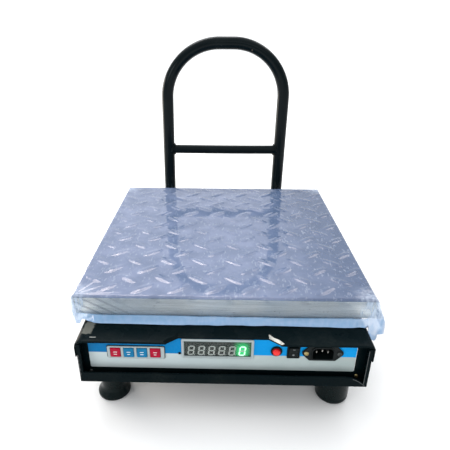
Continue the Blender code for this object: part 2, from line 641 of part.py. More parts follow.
def mains_inlet(black, nickel, brass):
    """Appliance inlet: flanged housing with its socket cavity, three pins and two screws."""
    x, z = INLET_CENTRE
    ear, ear_half, body_half, high = 0.025, 0.0042, 0.0150, 0.0113
    right = [(body_half, -high), (ear - 0.001, -ear_half), (ear, 0.0), (ear - 0.001, ear_half), (body_half, high)]
    left = [(-px, -pz) for px, pz in right]
    outline = [(x + px, z + pz) for px, pz in right + left]
    face = LABEL_FACE - GAP - INLET_FLANGE
    housing = add("inlet_housing", prism(outline, "y", face, LABEL_FACE - GAP), black)
    join(housing, prism(inlet_body_outline(), "y", face - 0.0012, LABEL_FACE + INLET_DEPTH))
    half, tall, corner = 0.0124, 0.0079, 0.0035
    cavity = [(x - half, z - tall), (x + half, z - tall), (x + half, z + tall - corner),
              (x + half - corner, z + tall), (x - half + corner, z + tall), (x - half, z + tall - corner)]
    floor = LABEL_FACE + INLET_DEPTH - 0.003
    cut(housing, prism(cavity, "y", face - 0.01, floor))
    for side, across in ((-1, "left"), (1, "right")):
        spot = (x + side * INLET_SCREW_PITCH / 2, face, z)
        cut(housing, cylinder(0.0019, spot, (0, 1, 0), -0.01, 0.01, 12))
        profile = [(0, -0.0022), (0.0018, -0.0019), (0.0030, -GAP - 0.0003), (0.0030, -GAP),
                   (0.0015, -GAP), (0.0015, 0.008), (0, 0.008)]
        smooth(add(f"inlet_screw_{across}", turned(profile, spot, (0, 1, 0), 14), brass))
    for name, step, rise in (("neutral", -1, 0.0), ("earth", 0, PIN_EARTH_RISE), ("live", 1, 0.0)):
        centre = (x + step * PIN_PITCH, z - PIN_EARTH_RISE / 2 + rise)
        pin = centred(centre, (0.0020, 0.0040), floor - GAP - 0.0155, floor - GAP)
        bevel(add(f"inlet_pin_{name}", pin, nickel), 0.0004)


# ---- handle -------------------------------------------------------------------------
def handle_path():
    """Centreline of the handle as (x, z, direction angle) from the left foot to the right one."""
    centre_x = HANDLE_X - BEND_RADIUS
    centre_z = HANDLE_TOP - BEND_RADIUS
    steps = 10
    path = [(-HANDLE_X, HANDLE_BOTTOM, math.pi / 2)]
    for i in range(steps + 1):
        turn = math.pi / 2 * i / steps
        path.append((-centre_x - BEND_RADIUS * math.cos(turn),
                     centre_z + BEND_RADIUS * math.sin(turn), math.pi / 2 - turn))
    path += [(-x, z, -heading) for x, z, heading in reversed(path)]
    return path


def handle_tube(paint):
    """One round tube bent into an upright loop, open at its two lower ends."""
    bm = bmesh.new()
    sides = 16
    loops = {"outer": [], "inner": []}
    for kind, radius in (("outer", HANDLE_RADIUS), ("inner", HANDLE_RADIUS - HANDLE_WALL)):
        for x, z, heading in handle_path():
            loop = []
            for k in range(sides):
                angle = 2 * math.pi * k / sides
                off = radius * math.cos(angle)
                spot = (x - off * math.sin(heading), HANDLE_Y + radius * math.sin(angle), z + off * math.cos(heading))
                loop.append(bm.verts.new(spot))
            loops[kind].append(loop)
    pairs = []
    for kind in loops:
        pairs += list(zip(loops[kind], loops[kind][1:]))
    pairs += [(loops["outer"][end], loops["inner"][end]) for end in (0, -1)]
    for first, second in pairs:
        for k in range(sides):
            j = (k + 1) % sides
            bm.faces.new((first[k], first[j], second[j], second[k]))
    return smooth(add("handle_tube", bm, paint))


def handle(paint):
    """The handle loop, its crossbar, and the two saddles that hold it to the tray's rear wall."""
    handle_tube(paint)
    spot = (0, HANDLE_Y, CROSSBAR_Z)
    bar = smooth(add("handle_crossbar", cylinder(CROSSBAR_RADIUS, spot, (1, 0, 0), -HANDLE_X, HANDLE_X), paint))
    posts = bmesh.new()
    for side, across in ((-1, "left"), (1, "right")):
        x = side * HANDLE_X
        reach = 0.05
        post = (x, HANDLE_Y, 0)
        cylinder(HANDLE_RADIUS + GAP, post, (0, 0, 1), CROSSBAR_Z - reach, CROSSBAR_Z + reach, 32, posts)
        wall = TRAY_BACK + GAP
        saddle = box((x - 0.018, wall, 0.062), (x + 0.018, HANDLE_Y, 0.108))
        saddle = add(f"handle_saddle_{across}", saddle, paint)
        cut(saddle, cylinder(HANDLE_RADIUS + GAP, post, (0, 0, 1), 0.05, 0.12, 32))
    cut(bar, posts)


# ---- assembly -----------------------------------------------------------------------
def build():
    for old in list(bpy.data.objects):
        bpy.data.objects.remove(old)
    black_paint = material("black_paint", (0.010, 0.014, 0.015), 0.32)
    zinc = material("zinc_steel", (0.55, 0.56, 0.55), 0.38, 1.0)
    chequer = material("chequer_steel", (0.62, 0.62, 0.60), 0.33, 1.0)
    film = material("polythene_film", (0.62, 0.70, 0.90), 0.12)
    rubber = material("black_rubber", (0.020, 0.022, 0.023), 0.65)
    aluminium = material("aluminium", (0.78, 0.79, 0.80), 0.35, 1.0)
    brass = material("brass", (0.72, 0.56, 0.22), 0.30, 1.0)
    nickel = material("nickel", (0.75, 0.74, 0.70), 0.22, 1.0)
    vinyl = material("panel_vinyl", (0.35, 0.44, 0.48), 0.35)
    grey_plastic = material("grey_plastic", (0.62, 0.64, 0.63), 0.40)
    smoked = material("smoked_window", (0.03, 0.05, 0.045), 0.08)
    black_plastic = material("black_plastic", (0.012, 0.013, 0.014), 0.40)
    key_red = material("key_red", (0.62, 0.01, 0.05), 0.35)
    key_blue = material("key_blue", (0.02, 0.28, 0.70), 0.35)
    button_red = material("button_red", (0.80, 0.02, 0.01), 0.25)
    board_green = material("board_green", (0.02, 0.20, 0.07), 0.50)
    bare = material("bare_steel", (0.85, 0.85, 0.84), 0.30, 1.0)

    platform_pan(chequer)
    film_cover(film)
    weighing_frame(zinc, rubber)
    inner_frame(zinc)
    load_cell(aluminium, zinc)
    base_tray(black_paint)
    hood(black_paint, bare)
    for name, x, y in foot_places():
        foot(name, x, y, name == "foot_front_left", rubber, zinc)
    electronics(black_plastic, board_green, zinc)
    panel(black_paint, vinyl, brass)
    keypad(grey_plastic, key_red, key_blue)
    display(grey_plastic, smoked, black_plastic, board_green, black_plastic)
    push_button(black_plastic, button_red)
    rocker_switch(black_plastic)
    mains_inlet(black_plastic, nickel, brass)
    handle(black_paint)


build()
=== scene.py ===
"""Looks of a platform shipping scale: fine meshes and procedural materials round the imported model.

Metres, in the frame of the CAD: +X is the operator's right and the control panel faces -Y.
"""

import functools
import json
import math

import bmesh
import bpy
import numpy as np
from mathutils import Matrix, Quaternion, Vector, noise


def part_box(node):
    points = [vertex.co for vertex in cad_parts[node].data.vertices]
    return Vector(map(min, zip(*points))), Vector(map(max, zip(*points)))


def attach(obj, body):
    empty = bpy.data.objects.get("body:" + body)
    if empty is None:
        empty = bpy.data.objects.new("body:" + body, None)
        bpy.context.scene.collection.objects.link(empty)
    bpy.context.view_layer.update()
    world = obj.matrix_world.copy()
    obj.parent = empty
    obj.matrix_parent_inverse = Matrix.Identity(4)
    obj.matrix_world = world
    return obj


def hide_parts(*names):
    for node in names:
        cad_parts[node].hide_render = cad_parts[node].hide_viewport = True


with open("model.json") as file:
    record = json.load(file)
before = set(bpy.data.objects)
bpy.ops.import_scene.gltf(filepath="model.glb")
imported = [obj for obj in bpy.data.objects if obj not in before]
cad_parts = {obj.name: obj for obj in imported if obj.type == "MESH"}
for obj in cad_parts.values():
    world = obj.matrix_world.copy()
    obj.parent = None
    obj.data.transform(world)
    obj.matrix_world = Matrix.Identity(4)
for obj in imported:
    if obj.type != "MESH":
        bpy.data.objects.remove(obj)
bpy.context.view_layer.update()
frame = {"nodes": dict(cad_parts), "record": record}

GAP = 0.0003


# ---- materials ----------------------------------------------------------------------
class Graph:
    """A node tree being made; places come from one output of its texture coordinates."""

    def __init__(self, tree, space):
        self.tree = tree
        self.place = self.add("ShaderNodeTexCoord").outputs[space]

    def add(self, kind, inputs=None, **settings):
        """A new node with its settings, and its inputs as numbers or linked sockets."""
        made = self.tree.nodes.new(kind)
        for key, value in settings.items():
            setattr(made, key, value)
        for key, value in (inputs or {}).items():
            self.feed(made.inputs[key], value)
        return made

    def feed(self, socket, value):
        if isinstance(value, bpy.types.NodeSocket):
            self.tree.links.new(value, socket)
        elif isinstance(value, tuple) and len(value) == 3 and len(socket.default_value) == 4:
            socket.default_value = (*value, 1.0)
        else:
            socket.default_value = value

    def maths(self, operation, first, second=0.0):
        return self.add("ShaderNodeMath", {0: first, 1: second}, operation=operation).outputs["Value"]

    def plus(self, first, second):
        return self.maths("ADD", first, second)

    def times(self, *factors):
        return functools.reduce(lambda a, b: self.maths("MULTIPLY", a, b), factors)

    def most(self, *values):
        return functools.reduce(lambda a, b: self.maths("MAXIMUM", a, b), values)

    def axis(self, name):
        return self.add("ShaderNodeSeparateXYZ", {"Vector": self.place}).outputs[name]

    def away(self, name, centre=0.0):
        """Distance along one axis from centre."""
        return self.maths("ABSOLUTE", self.maths("SUBTRACT", self.axis(name), centre))

    def ranged(self, value, low, high, to_low=0.0, to_high=1.0, shape="SMOOTHSTEP"):
        """value from low..high taken to to_low..to_high."""
        inputs = {"Value": value, "From Min": low, "From Max": high, "To Min": to_low, "To Max": to_high}
        return self.add("ShaderNodeMapRange", inputs, interpolation_type=shape).outputs["Result"]


class Look(Graph):
    """A material being made: its Principled shader and the textures that feed it."""

    def __init__(self, name, colour, roughness, **sockets):
        self.made = bpy.data.materials.new(name)
        self.made.use_nodes = True
        super().__init__(self.made.node_tree, "Object")
        self.shader = self.tree.nodes["Principled BSDF"]
        self.set("Base Color", colour)
        self.set("Roughness", roughness)
        for socket, value in sockets.items():
            self.set(socket.replace("_", " "), value)

    def set(self, socket, value):
        self.feed(self.shader.inputs[socket], value)

    def noise(self, size, detail=3.0, stretch=(1.0, 1.0, 1.0)):
        """Noise whose features are about size metres across, stretched along each axis."""
        scale = tuple(1 / s for s in stretch)
        place = self.add("ShaderNodeMapping", {"Vector": self.place, "Scale": scale}).outputs["Vector"]
        inputs = {"Vector": place, "Scale": 1.0 / size, "Detail": detail}
        return self.add("ShaderNodeTexNoise", inputs).outputs["Fac"]

    def near(self, centre, within, soft):
        """1 inside a ball round centre, falling to 0 over soft."""
        made = self.add("ShaderNodeVectorMath", {0: self.place, 1: centre}, operation="DISTANCE")
        return self.ranged(made.outputs["Value"], within + soft, within)

    def within(self, low, high, soft):
        """1 inside a box from low to high, with ragged edges soft metres wide."""
        ragged = self.times(self.maths("SUBTRACT", self.noise(0.005, 4.0), 0.5), soft * 5)
        sides = []
        for name, near, far in zip("XYZ", low, high):
            place = self.plus(self.axis(name), ragged)
            sides.append(self.ranged(place, near - soft, near + soft))
            sides.append(self.ranged(place, far + soft, far - soft))
        return self.times(*sides)

    def mixed(self, factor, first, second):
        """A colour between two colours."""
        made = self.add("ShaderNodeMix", data_type="RGBA")
        for place, value in ((0, factor), (6, first), (7, second)):
            self.feed(made.inputs[place], value)
        return made.outputs[2]

    def bump(self, height, distance, strength=1.0, under=None):
        """Relief of the given height in metres on the shader's normal."""
        inputs = {"Height": height, "Distance": distance, "Strength": strength}
        if under is not None:
            inputs["Normal"] = under
        normal = self.add("ShaderNodeBump", inputs).outputs["Normal"]
        self.set("Normal", normal)
        return normal


def painted(name, colour, dust, roughness, grain, gloss=0.06, chips=(), patches=()):
    """Sprayed steel: orange peel, uneven gloss, dust, fine scratches, chips down to the metal, and patches
    of a given tone, used for scrapes and for painted reflections.
    """
    look = Look(name, colour, roughness, Specular_IOR_Level=gloss)
    cloud = look.noise(0.035, 4.0)
    powder = look.times(look.ranged(cloud, 0.46, 0.78), look.ranged(look.noise(0.004), 0.3, 0.8), 0.55)
    scratch = look.ranged(look.noise(0.010, 2.0, (0.03, 1.0, 6.0)), 0.70, 0.74, 0.0, 0.30)
    speck = look.ranged(look.noise(0.0016, 2.0), 0.66, 0.74, 0.0, 0.35)
    shade = look.mixed(look.most(powder, scratch, speck), colour, dust)
    for centre, size, tone in chips:
        ragged = look.times(look.near(centre, size, size / 2), look.ranged(look.noise(0.003), 0.40, 0.5))
        shade = look.mixed(ragged, shade, tone)
    for low, high, soft, tone in patches:
        shade = look.mixed(look.within(low, high, soft), shade, tone)
    look.set("Base Color", shade)
    look.set("Roughness", look.ranged(cloud, 0.30, 0.75, roughness * 0.75, roughness * 1.35))
    look.bump(look.noise(grain, 2.0), 0.00006, 0.5)
    return look.made


def metal(name, colour, roughness, grain=(1.0, 1.0, 1.0), size=0.0015, stain=0.75):
    """Bare or plated metal with a grain, dull patches and small pits."""
    look = Look(name, colour, roughness, Metallic=1.0)
    brushed = look.noise(size, 3.0, grain)
    cloud = look.noise(0.018, 4.0)
    dull = tuple(c * stain for c in colour)
    look.set("Base Color", look.mixed(look.ranged(cloud, 0.35, 0.75), colour, dull))
    tone = look.plus(look.times(brushed, 0.5), look.times(cloud, 0.5))
    look.set("Roughness", look.ranged(tone, 0.3, 0.7, roughness * 0.7, roughness * 1.4))
    look.bump(brushed, 0.00004, 0.4)
    return look.made


def plastic(name, colour, roughness, grain=0.0006, mottle=0.85, gloss=0.2, **sockets):
    """Moulded plastic or rubber: fine texture, and colour and gloss that vary a little."""
    look = Look(name, colour, roughness, Specular_IOR_Level=gloss, **sockets)
    cloud = look.noise(0.006, 3.0)
    deeper = tuple(c * mottle for c in colour)
    look.set("Base Color", look.mixed(look.ranged(cloud, 0.3, 0.75), colour, deeper))
    look.set("Roughness", look.ranged(cloud, 0.3, 0.75, roughness * 0.85, roughness * 1.2))
    look.bump(look.noise(grain, 2.0), 0.00003, 0.35)
    return look.made


def chequer_look(top):
    """Rolled steel plate, with a blue protective foil on its flat top and unpainted, dusty sides that carry
    painted shade along the bend, near their top and in diagonal creases.
    """
    look = Look("chequer_plate", (0.5, 0.5, 0.5), 0.35, IOR=1.6)
    # Warm specular tint: a painted reflection colour, standing in for warm surroundings reflected in the
    # foil.
    look.set("Specular Tint", (1.0, 0.56, 0.38, 1.0))
    height = look.axis("Z")
    on_top = look.ranged(height, top - 0.0016, top - 0.0006)
    cloud = look.noise(0.05, 4.0)
    streak = look.noise(0.004, 3.0, (9.0, 9.0, 0.5))
    spots = look.ranged(look.noise(0.0022, 2.0), 0.68, 0.74, 0.0, 0.6)
    # Painted shade: diagonal dark streaks at the left end, for shadows of creases in the film.
    slanted = look.times(look.plus(look.axis("X"), look.times(height, 1.8)), 330.0)
    fold_shade = look.ranged(look.maths("SINE", slanted), 0.2, 0.9)
    fold_shade = look.times(fold_shade, look.ranged(look.axis("X"), -0.09, -0.17, 0.0, 0.5))
    side = look.mixed(look.ranged(streak, 0.25, 0.8), (0.84, 0.87, 0.85), (0.56, 0.59, 0.57))
    # Painted shade: the sides darker towards their top, as fold shadow of the film.
    side = look.mixed(look.ranged(height, top - 0.016, top - 0.006, 0.0, 0.45), side, (0.16, 0.18, 0.18))
    side = look.mixed(fold_shade, side, (0.08, 0.09, 0.10))
    side = look.mixed(spots, side, (0.10, 0.10, 0.10))
    foil = look.mixed(look.ranged(cloud, 0.3, 0.75), (0.10, 0.18, 0.31), (0.14, 0.22, 0.35))
    # Painted shade: a dark band round the bend of the plate, under the film's edge.
    edge = look.times(look.ranged(height, top - 0.0034, top - 0.0024),
                      look.ranged(height, top - 0.0002, top - 0.0010), 0.9)
    look.set("Base Color", look.mixed(edge, look.mixed(on_top, side, foil), (0.012, 0.030, 0.055)))
    look.set("Metallic", look.ranged(on_top, 0.0, 1.0, 0.55, 0.0))
    rough_side = look.ranged(streak, 0.3, 0.7, 0.30, 0.46)
    rough_top = look.ranged(cloud, 0.3, 0.7, 0.07, 0.13)
    smoother = look.times(on_top, look.maths("SUBTRACT", rough_top, rough_side))
    look.set("Roughness", look.plus(smoother, rough_side))
    wrinkle = look.noise(0.010, 3.0, (0.6, 2.0, 1.0))
    first = look.bump(wrinkle, 0.00012, 0.30)
    look.bump(look.noise(0.0012, 2.0), 0.00004, 0.25, under=first)
    return look.made


def film_look(skirt_bottom, top, corner):
    """Polythene: a blue gloss where it lies on the plate, clear over the skirt, hazy at hem and corners."""
    look = Look("clear_polythene", (0.3, 0.4, 0.6), 0.06, IOR=1.62)
    # Warm specular tint: a painted reflection colour, standing in for warm surroundings reflected in the
    # film.
    look.set("Specular Tint", (1.0, 0.84, 0.78, 1.0))
    height = look.axis("Z")
    lying = look.ranged(height, top - 0.0035, top - 0.0008)
    hem = look.ranged(height, skirt_bottom + 0.0048, skirt_bottom + 0.0022)
    bunched = look.times(*(look.ranged(look.away(name), corner - 0.034, corner - 0.004) for name in "XY"))
    cloud = look.noise(0.03, 4.0)
    streak = look.noise(0.005, 3.0, (1.0, 1.0, 6.0))
    veil = look.times(bunched, look.ranged(streak, 0.35, 0.65, 0.30, 0.75))
    sheet = look.times(lying, look.ranged(cloud, 0.3, 0.8, 0.76, 0.88))
    thin = look.ranged(cloud, 0.3, 0.8, 0.12, 0.22)
    look.set("Alpha", look.most(look.times(hem, 0.80), thin, veil, sheet))
    foil = look.mixed(look.ranged(cloud, 0.3, 0.75), (0.160, 0.214, 0.345), (0.207, 0.260, 0.406))
    # Painted shade: the foil darker towards the right side.
    foil = look.mixed(look.ranged(look.axis("X"), 0.02, 0.19, 0.0, 0.70), foil, (0.010, 0.055, 0.145))
    fleck = look.ranged(look.noise(0.0035, 4.0, (1.0, 2.5, 1.0)), 0.56, 0.72, 0.0, 0.35)
    foil = look.mixed(fleck, foil, (0.48, 0.54, 0.66))
    pale = look.mixed(look.ranged(streak, 0.2, 0.8), (0.26, 0.48, 0.76), (0.34, 0.54, 0.81))
    shade = look.mixed(lying, pale, foil)
    look.set("Base Color", look.mixed(look.times(veil, 0.8), shade, (0.66, 0.76, 0.92)))
    crease = look.noise(0.006, 3.0, (1.0, 3.0, 1.0))
    fine = look.noise(0.0022, 2.0, (1.0, 5.0, 1.0))
    first = look.bump(crease, 0.00010, 0.25)
    look.bump(fine, 0.00002, 0.30, under=first)
    look.set("Roughness", look.ranged(look.noise(0.02), 0.3, 0.8, 0.03, 0.09))
    return look.made


def label_look(split, edge):
    """Printed vinyl: blue above, silver grey below, with a soft sheen, fine grain and painted shade from
    side to side.
    """
    look = Look("panel_print", (0.4, 0.45, 0.45), 0.3, Specular_IOR_Level=0.08)
    height = look.plus(look.axis("Z"), look.times(look.axis("X"), 0.004))
    upper = look.ranged(height, split - edge, split + edge)
    cloud = look.noise(0.03, 3.0)
    # Painted shade: the grey darker towards the right.
    grey = look.mixed(look.ranged(look.axis("X"), -0.15, 0.15), (0.51, 0.60, 0.62), (0.40, 0.48, 0.475))
    grey = look.mixed(look.ranged(cloud, 0.3, 0.7, 0.0, 0.3), grey, (0.56, 0.62, 0.62))
    # Painted shade: the blue darker towards the left, in the hood's shadow.
    blue = look.mixed(look.ranged(look.axis("X"), -0.15, 0.15), (0.0, 0.145, 0.37), (0.0, 0.33, 0.80))
    blue = look.mixed(look.ranged(cloud, 0.3, 0.8, 0.0, 0.15), blue, (0.0, 0.31, 0.71))
    look.set("Base Color", look.mixed(upper, grey, blue))
    look.set("Roughness", look.ranged(look.noise(0.0009, 2.0), 0.3, 0.7, 0.26, 0.36))
    look.bump(look.noise(0.0007, 2.0), 0.00002, 0.3)
    return look.made


def glowing_block(centre):
    """Dark display face, lit green round the one digit that is on."""
    look = Look("display_face", (0.045, 0.055, 0.050), 0.45)
    glow = look.times(look.ranged(look.away("X", centre.x), 0.0125, 0.0010),
                      look.ranged(look.away("Z", centre.z), 0.0180, 0.0020), 1.70)
    look.set("Base Color", look.mixed(look.noise(0.002), (0.022, 0.030, 0.028), (0.036, 0.046, 0.042)))
    look.set("Emission Color", (0.0, 0.62, 0.16, 1.0))
    look.set("Emission Strength", glow)
    look.bump(look.noise(0.0008), 0.00003, 0.3)
    return look.made


def smoked_pane():
    """Tinted acrylic that is mostly clear, with faint smears."""
    look = Look("smoked_pane", (0.030, 0.050, 0.042), 0.06, Alpha=0.18)
    look.set("Roughness", look.ranged(look.noise(0.008), 0.4, 0.8, 0.04, 0.14))
    return look.made


def segment_look(name, colour, strength):
    """The diffusing plastic of a display segment, its colour and glow varying with a fine grain; unlit bars
    get a faint painted glow.
    """
    look = Look(name, colour, 0.35)
    grain = look.noise(0.0012)
    look.set("Base Color", look.mixed(grain, colour, tuple(c * 0.86 for c in colour)))
    # Unlit bars (strength up to 1) glow faintly in a pale colour: painted light.
    look.set("Emission Color", (0.55, 1.0, 0.66, 1.0) if strength > 1 else (0.85, 1.0, 0.92, 1.0))
    look.set("Emission Strength", look.ranged(grain, 0.3, 0.7, strength * 0.9, strength * 1.1))
    return look.made


# ---- mesh tools ---------------------------------------------------------------------
def finished(made, look, body, slot, replaces=()):
    """Gives a piece its material and its body, and hides the CAD nodes that it stands for; slot is not used.
    """
    made.data.materials.clear()
    made.data.materials.append(look)
    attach(made, body)
    if replaces:
        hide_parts(*replaces)
    return made


def linked(name, mesh):
    made = bpy.data.objects.new(name, mesh)
    bpy.context.scene.collection.objects.link(made)
    return made


def piece(name, bm, look, body, slot, replaces=(), sharp=35, edge=0.0, steps=2):
    """A piece from a bmesh, smooth except at sharp edges, which edge can round off."""
    bmesh.ops.recalc_face_normals(bm, faces=bm.faces)
    mesh = bpy.data.meshes.new(name)
    bm.to_mesh(mesh)
    bm.free()
    made = linked(name, mesh)
    finished(made, look, body, slot, replaces)
    rounded_edges(made, edge, steps) if edge else smooth(mesh, sharp)
    return made


def smooth(mesh, sharp=35):
    mesh.shade_smooth()
    mesh.set_sharp_from_angle(angle=math.radians(sharp))


def rounded_edges(made, width, steps=2, sharp=30):
    """Rounds the sharp edges of an object with a bevel."""
    made.data.shade_smooth()
    bevel = made.modifiers.new("Edges", "BEVEL")
    bevel.width = width
    bevel.segments = steps
    bevel.limit_method = "ANGLE"
    bevel.angle_limit = math.radians(sharp)
    bevel.harden_normals = True
    return made


def baked(made):
    """Puts the object's modifiers into its mesh."""
    graph = bpy.context.evaluated_depsgraph_get()
    mesh = bpy.data.meshes.new_from_object(made.evaluated_get(graph))
    old = made.data
    made.modifiers.clear()
    made.data = mesh
    bpy.data.meshes.remove(old)
    return made


def cut(made, tool):
    """Cuts a bmesh out of an object at once."""
    bmesh.ops.recalc_face_normals(tool, faces=tool.faces)
    mesh = bpy.data.meshes.new("cutter")
    tool.to_mesh(mesh)
    tool.free()
    cutter = linked("cutter", mesh)
    boolean = made.modifiers.new("Cut", "BOOLEAN")
    boolean.object = cutter
    baked(made)
    bpy.data.objects.remove(cutter)
    bpy.data.meshes.remove(mesh)
    return made


def box(low, high, bm=None):
    bm = bm or bmesh.new()
    low, high = Vector(low), Vector(high)
    place = Matrix.Translation((low + high) / 2) @ Matrix.Diagonal((*(high - low), 1.0))
    bmesh.ops.create_cube(bm, size=1.0, matrix=place)
    return bm


def grown(node, by, low_y=None, high_y=None, bm=None):
    """A box round a CAD node, grown in the panel's plane, and run through it in Y."""
    low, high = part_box(node)
    out = Vector((by, 0, by))
    low, high = low - out, high + out
    low.y = low.y if low_y is None else low_y
    high.y = high.y if high_y is None else high_y
    return box(low, high, bm)


def prism(outline, axis, low, high, bm=None):
    """Extrudes an outline of the two other axes' coordinates along axis."""
    bm = bm or bmesh.new()
    places = {"x": lambda p, v: (v, *p), "y": lambda p, v: (p[0], v, p[1]), "z": lambda p, v: (*p, v)}
    at = places[axis]
    return stacked([[at(p, low) for p in outline], [at(p, high) for p in outline]], bm)


def stacked(loops, bm=None, closed=False):
    """Joins loops of points one after another, with end caps unless the stack is closed."""
    bm = bm or bmesh.new()
    rings = [[bm.verts.new(p) for p in loop] for loop in loops]
    pairs = list(zip(rings, rings[1:]))
    if closed:
        pairs.append((rings[-1], rings[0]))
    else:
        bm.faces.new(rings[0])
        bm.faces.new(rings[-1])
    for first, second in pairs:
        for i in range(len(first)):
            j = (i + 1) % len(first)
            bm.faces.new((first[i], first[j], second[j], second[i]))
    return bm


def rounded(width, height, radius, steps=6):
    """Outline of a rectangle with round corners about the origin."""
    points = []
    for quarter, (sx, sz) in enumerate(((1, 1), (-1, 1), (-1, -1), (1, -1))):
        corner = Vector((sx * (width / 2 - radius), sz * (height / 2 - radius)))
        for i in range(steps + 1):
            angle = math.pi / 2 * (quarter + i / steps)
            points.append(corner + radius * Vector((math.cos(angle), math.sin(angle))))
    return points


def plaque(node, radius, profile, closed=False, grow=0.0, bm=None):
    """A rounded block facing -Y over a CAD node: profile is (inset, distance behind its front)."""
    low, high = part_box(node)
    centre = (low + high) / 2
    size = high - low
    loops = []
    for inset, depth in profile:
        more = grow - inset
        outline = rounded(size.x + 2 * more, size.z + 2 * more, max(radius + more, 0.0002))
        loops.append([(centre.x + p.x, low.y + depth, centre.z + p.y) for p in outline])
    return stacked(loops, bm, closed)


def turned(profile, centre, axis, segments=48, closed=False, bm=None):
    """Turns a profile of (radius, distance) about axis through centre."""
    turn = Vector((0, 0, 1)).rotation_difference(Vector(axis)).to_matrix()
    bm = bm or bmesh.new()
    loops = []
    for radius, distance in profile:
        loop = []
        for i in range(segments):
            angle = 2 * math.pi * i / segments
            spot = Vector((radius * math.cos(angle), radius * math.sin(angle), distance))
            loop.append(Vector(centre) + turn @ spot)
        loops.append(loop)
    return stacked(loops, bm, closed)


def arc(centre, radius, start, end, steps):
    """Points of an arc in a profile, from one angle to another in degrees."""
    spots = []
    for i in range(steps + 1):
        angle = math.radians(start + (end - start) * i / steps)
        spots.append((centre[0] + radius * math.cos(angle), centre[1] + radius * math.sin(angle)))
    return spots


def bead(name, points, size, look, body, slot, cyclic=False, ripple=0.2):
    """A weld bead or a rolled edge along points: a round run whose thickness can ripple."""
    curve = bpy.data.curves.new(name, "CURVE")
    curve.dimensions = "3D"
    curve.bevel_depth = size
    curve.bevel_resolution = 3
    curve.use_fill_caps = True
    spline = curve.splines.new("POLY")
    spline.points.add(len(points) - 1)
    for i, (point, target) in enumerate(zip(points, spline.points)):
        target.co = (*point, 1.0)
        target.radius = 1 + ripple * (abs(math.sin(i * 0.9)) + 0.4 * math.sin(i * 2.7) - 0.6)
    spline.use_cyclic_u = cyclic
    run = linked("run", curve)
    mesh = bpy.data.meshes.new_from_object(run.evaluated_get(bpy.context.evaluated_depsgraph_get()))
    bpy.data.objects.remove(run)
    bpy.data.curves.remove(curve)
    mesh.shade_smooth()
    return finished(linked(name, mesh), look, body, slot)


def dressed(node, look, edge=0.0, steps=2):
    """Keeps a CAD node, with a better material and rounded edges."""
    made = frame["nodes"][node]
    for place in made.material_slots:
        place.link = "OBJECT"
        place.material = look
    if edge:
        flat = made.modifiers.new("Flat", "DECIMATE")
        flat.decimate_type = "DISSOLVE"
        flat.angle_limit = math.radians(0.5)
        bevel = made.modifiers.new("Edges", "BEVEL")
        bevel.width = edge
        bevel.segments = steps
        bevel.limit_method = "ANGLE"
        bevel.angle_limit = math.radians(30)
    return made


# ---- chequer plate and film ---------------------------------------------------------
LUG_LENGTH = 0.030
LUG_WIDTH = 0.0074
LUG_HEIGHT = 0.0012
LUG_PITCH = 0.0465
LUG_LEAN = math.radians(38)
LUG_ORIGIN = (0.0120, -0.0095)
BEND = 0.003


def lug_pattern(x, y, grow=0.0, power=0.6):
    """Share of a lug's height at places x and y on the plate, for lugs grown all round."""
    height = np.zeros_like(x)
    for lean, shift in ((-LUG_LEAN, 0.0), (LUG_LEAN, LUG_PITCH / 2)):
        right = (x - LUG_ORIGIN[0] - shift + LUG_PITCH / 2) % LUG_PITCH - LUG_PITCH / 2
        far = (y - LUG_ORIGIN[1] - shift + LUG_PITCH / 2) % LUG_PITCH - LUG_PITCH / 2
        along = right * math.cos(lean) + far * math.sin(lean)
        across = far * math.cos(lean) - right * math.sin(lean)
        inside = np.abs(along / (LUG_LENGTH / 2 + grow)) ** 2.2 + (across / (LUG_WIDTH / 2 + grow)) ** 2
        height = np.maximum(height, np.clip(1 - inside, 0, None) ** power)
    return height


def sheet_mesh(name, half, cells, height, rings, bottom=False):
    """A square sheet: a grid whose top is height(x, y), then rings of points from its edge on."""
    line = np.linspace(-half, half, cells + 1)
    x, y = np.meshgrid(line, line, indexing="ij")
    points = [np.stack([x, y, height(x, y)], axis=-1).reshape(-1, 3)]
    index = np.arange((cells + 1) ** 2).reshape(cells + 1, cells + 1)
    edge = np.concatenate([index[:-1, 0], index[-1, :-1], index[:0:-1, -1], index[0, :0:-1]])
    faces = np.stack([index[:-1, :-1], index[1:, :-1], index[1:, 1:], index[:-1, 1:]], axis=-1)
    faces = [faces.reshape(-1, 4)]
    border = points[0][edge]
    corner = np.abs(np.abs(border[:, :2]) - half) < 1e-7
    out = np.sign(border[:, :2]) * corner
    previous = edge
    count = len(points[0])
    for ring in rings(border, out):
        current = np.arange(count, count + len(edge))
        points.append(ring)
        quad = [current, np.roll(current, -1), np.roll(previous, -1), previous]
        faces.append(np.stack(quad, axis=-1))
        previous = current
        count += len(edge)
    faces = np.concatenate(faces).tolist()
    if bottom:
        faces.append(previous.tolist()[::-1])
    mesh = bpy.data.meshes.new(name)
    mesh.from_pydata(np.concatenate(points).tolist(), [], faces)
    mesh.shade_smooth()
    return mesh


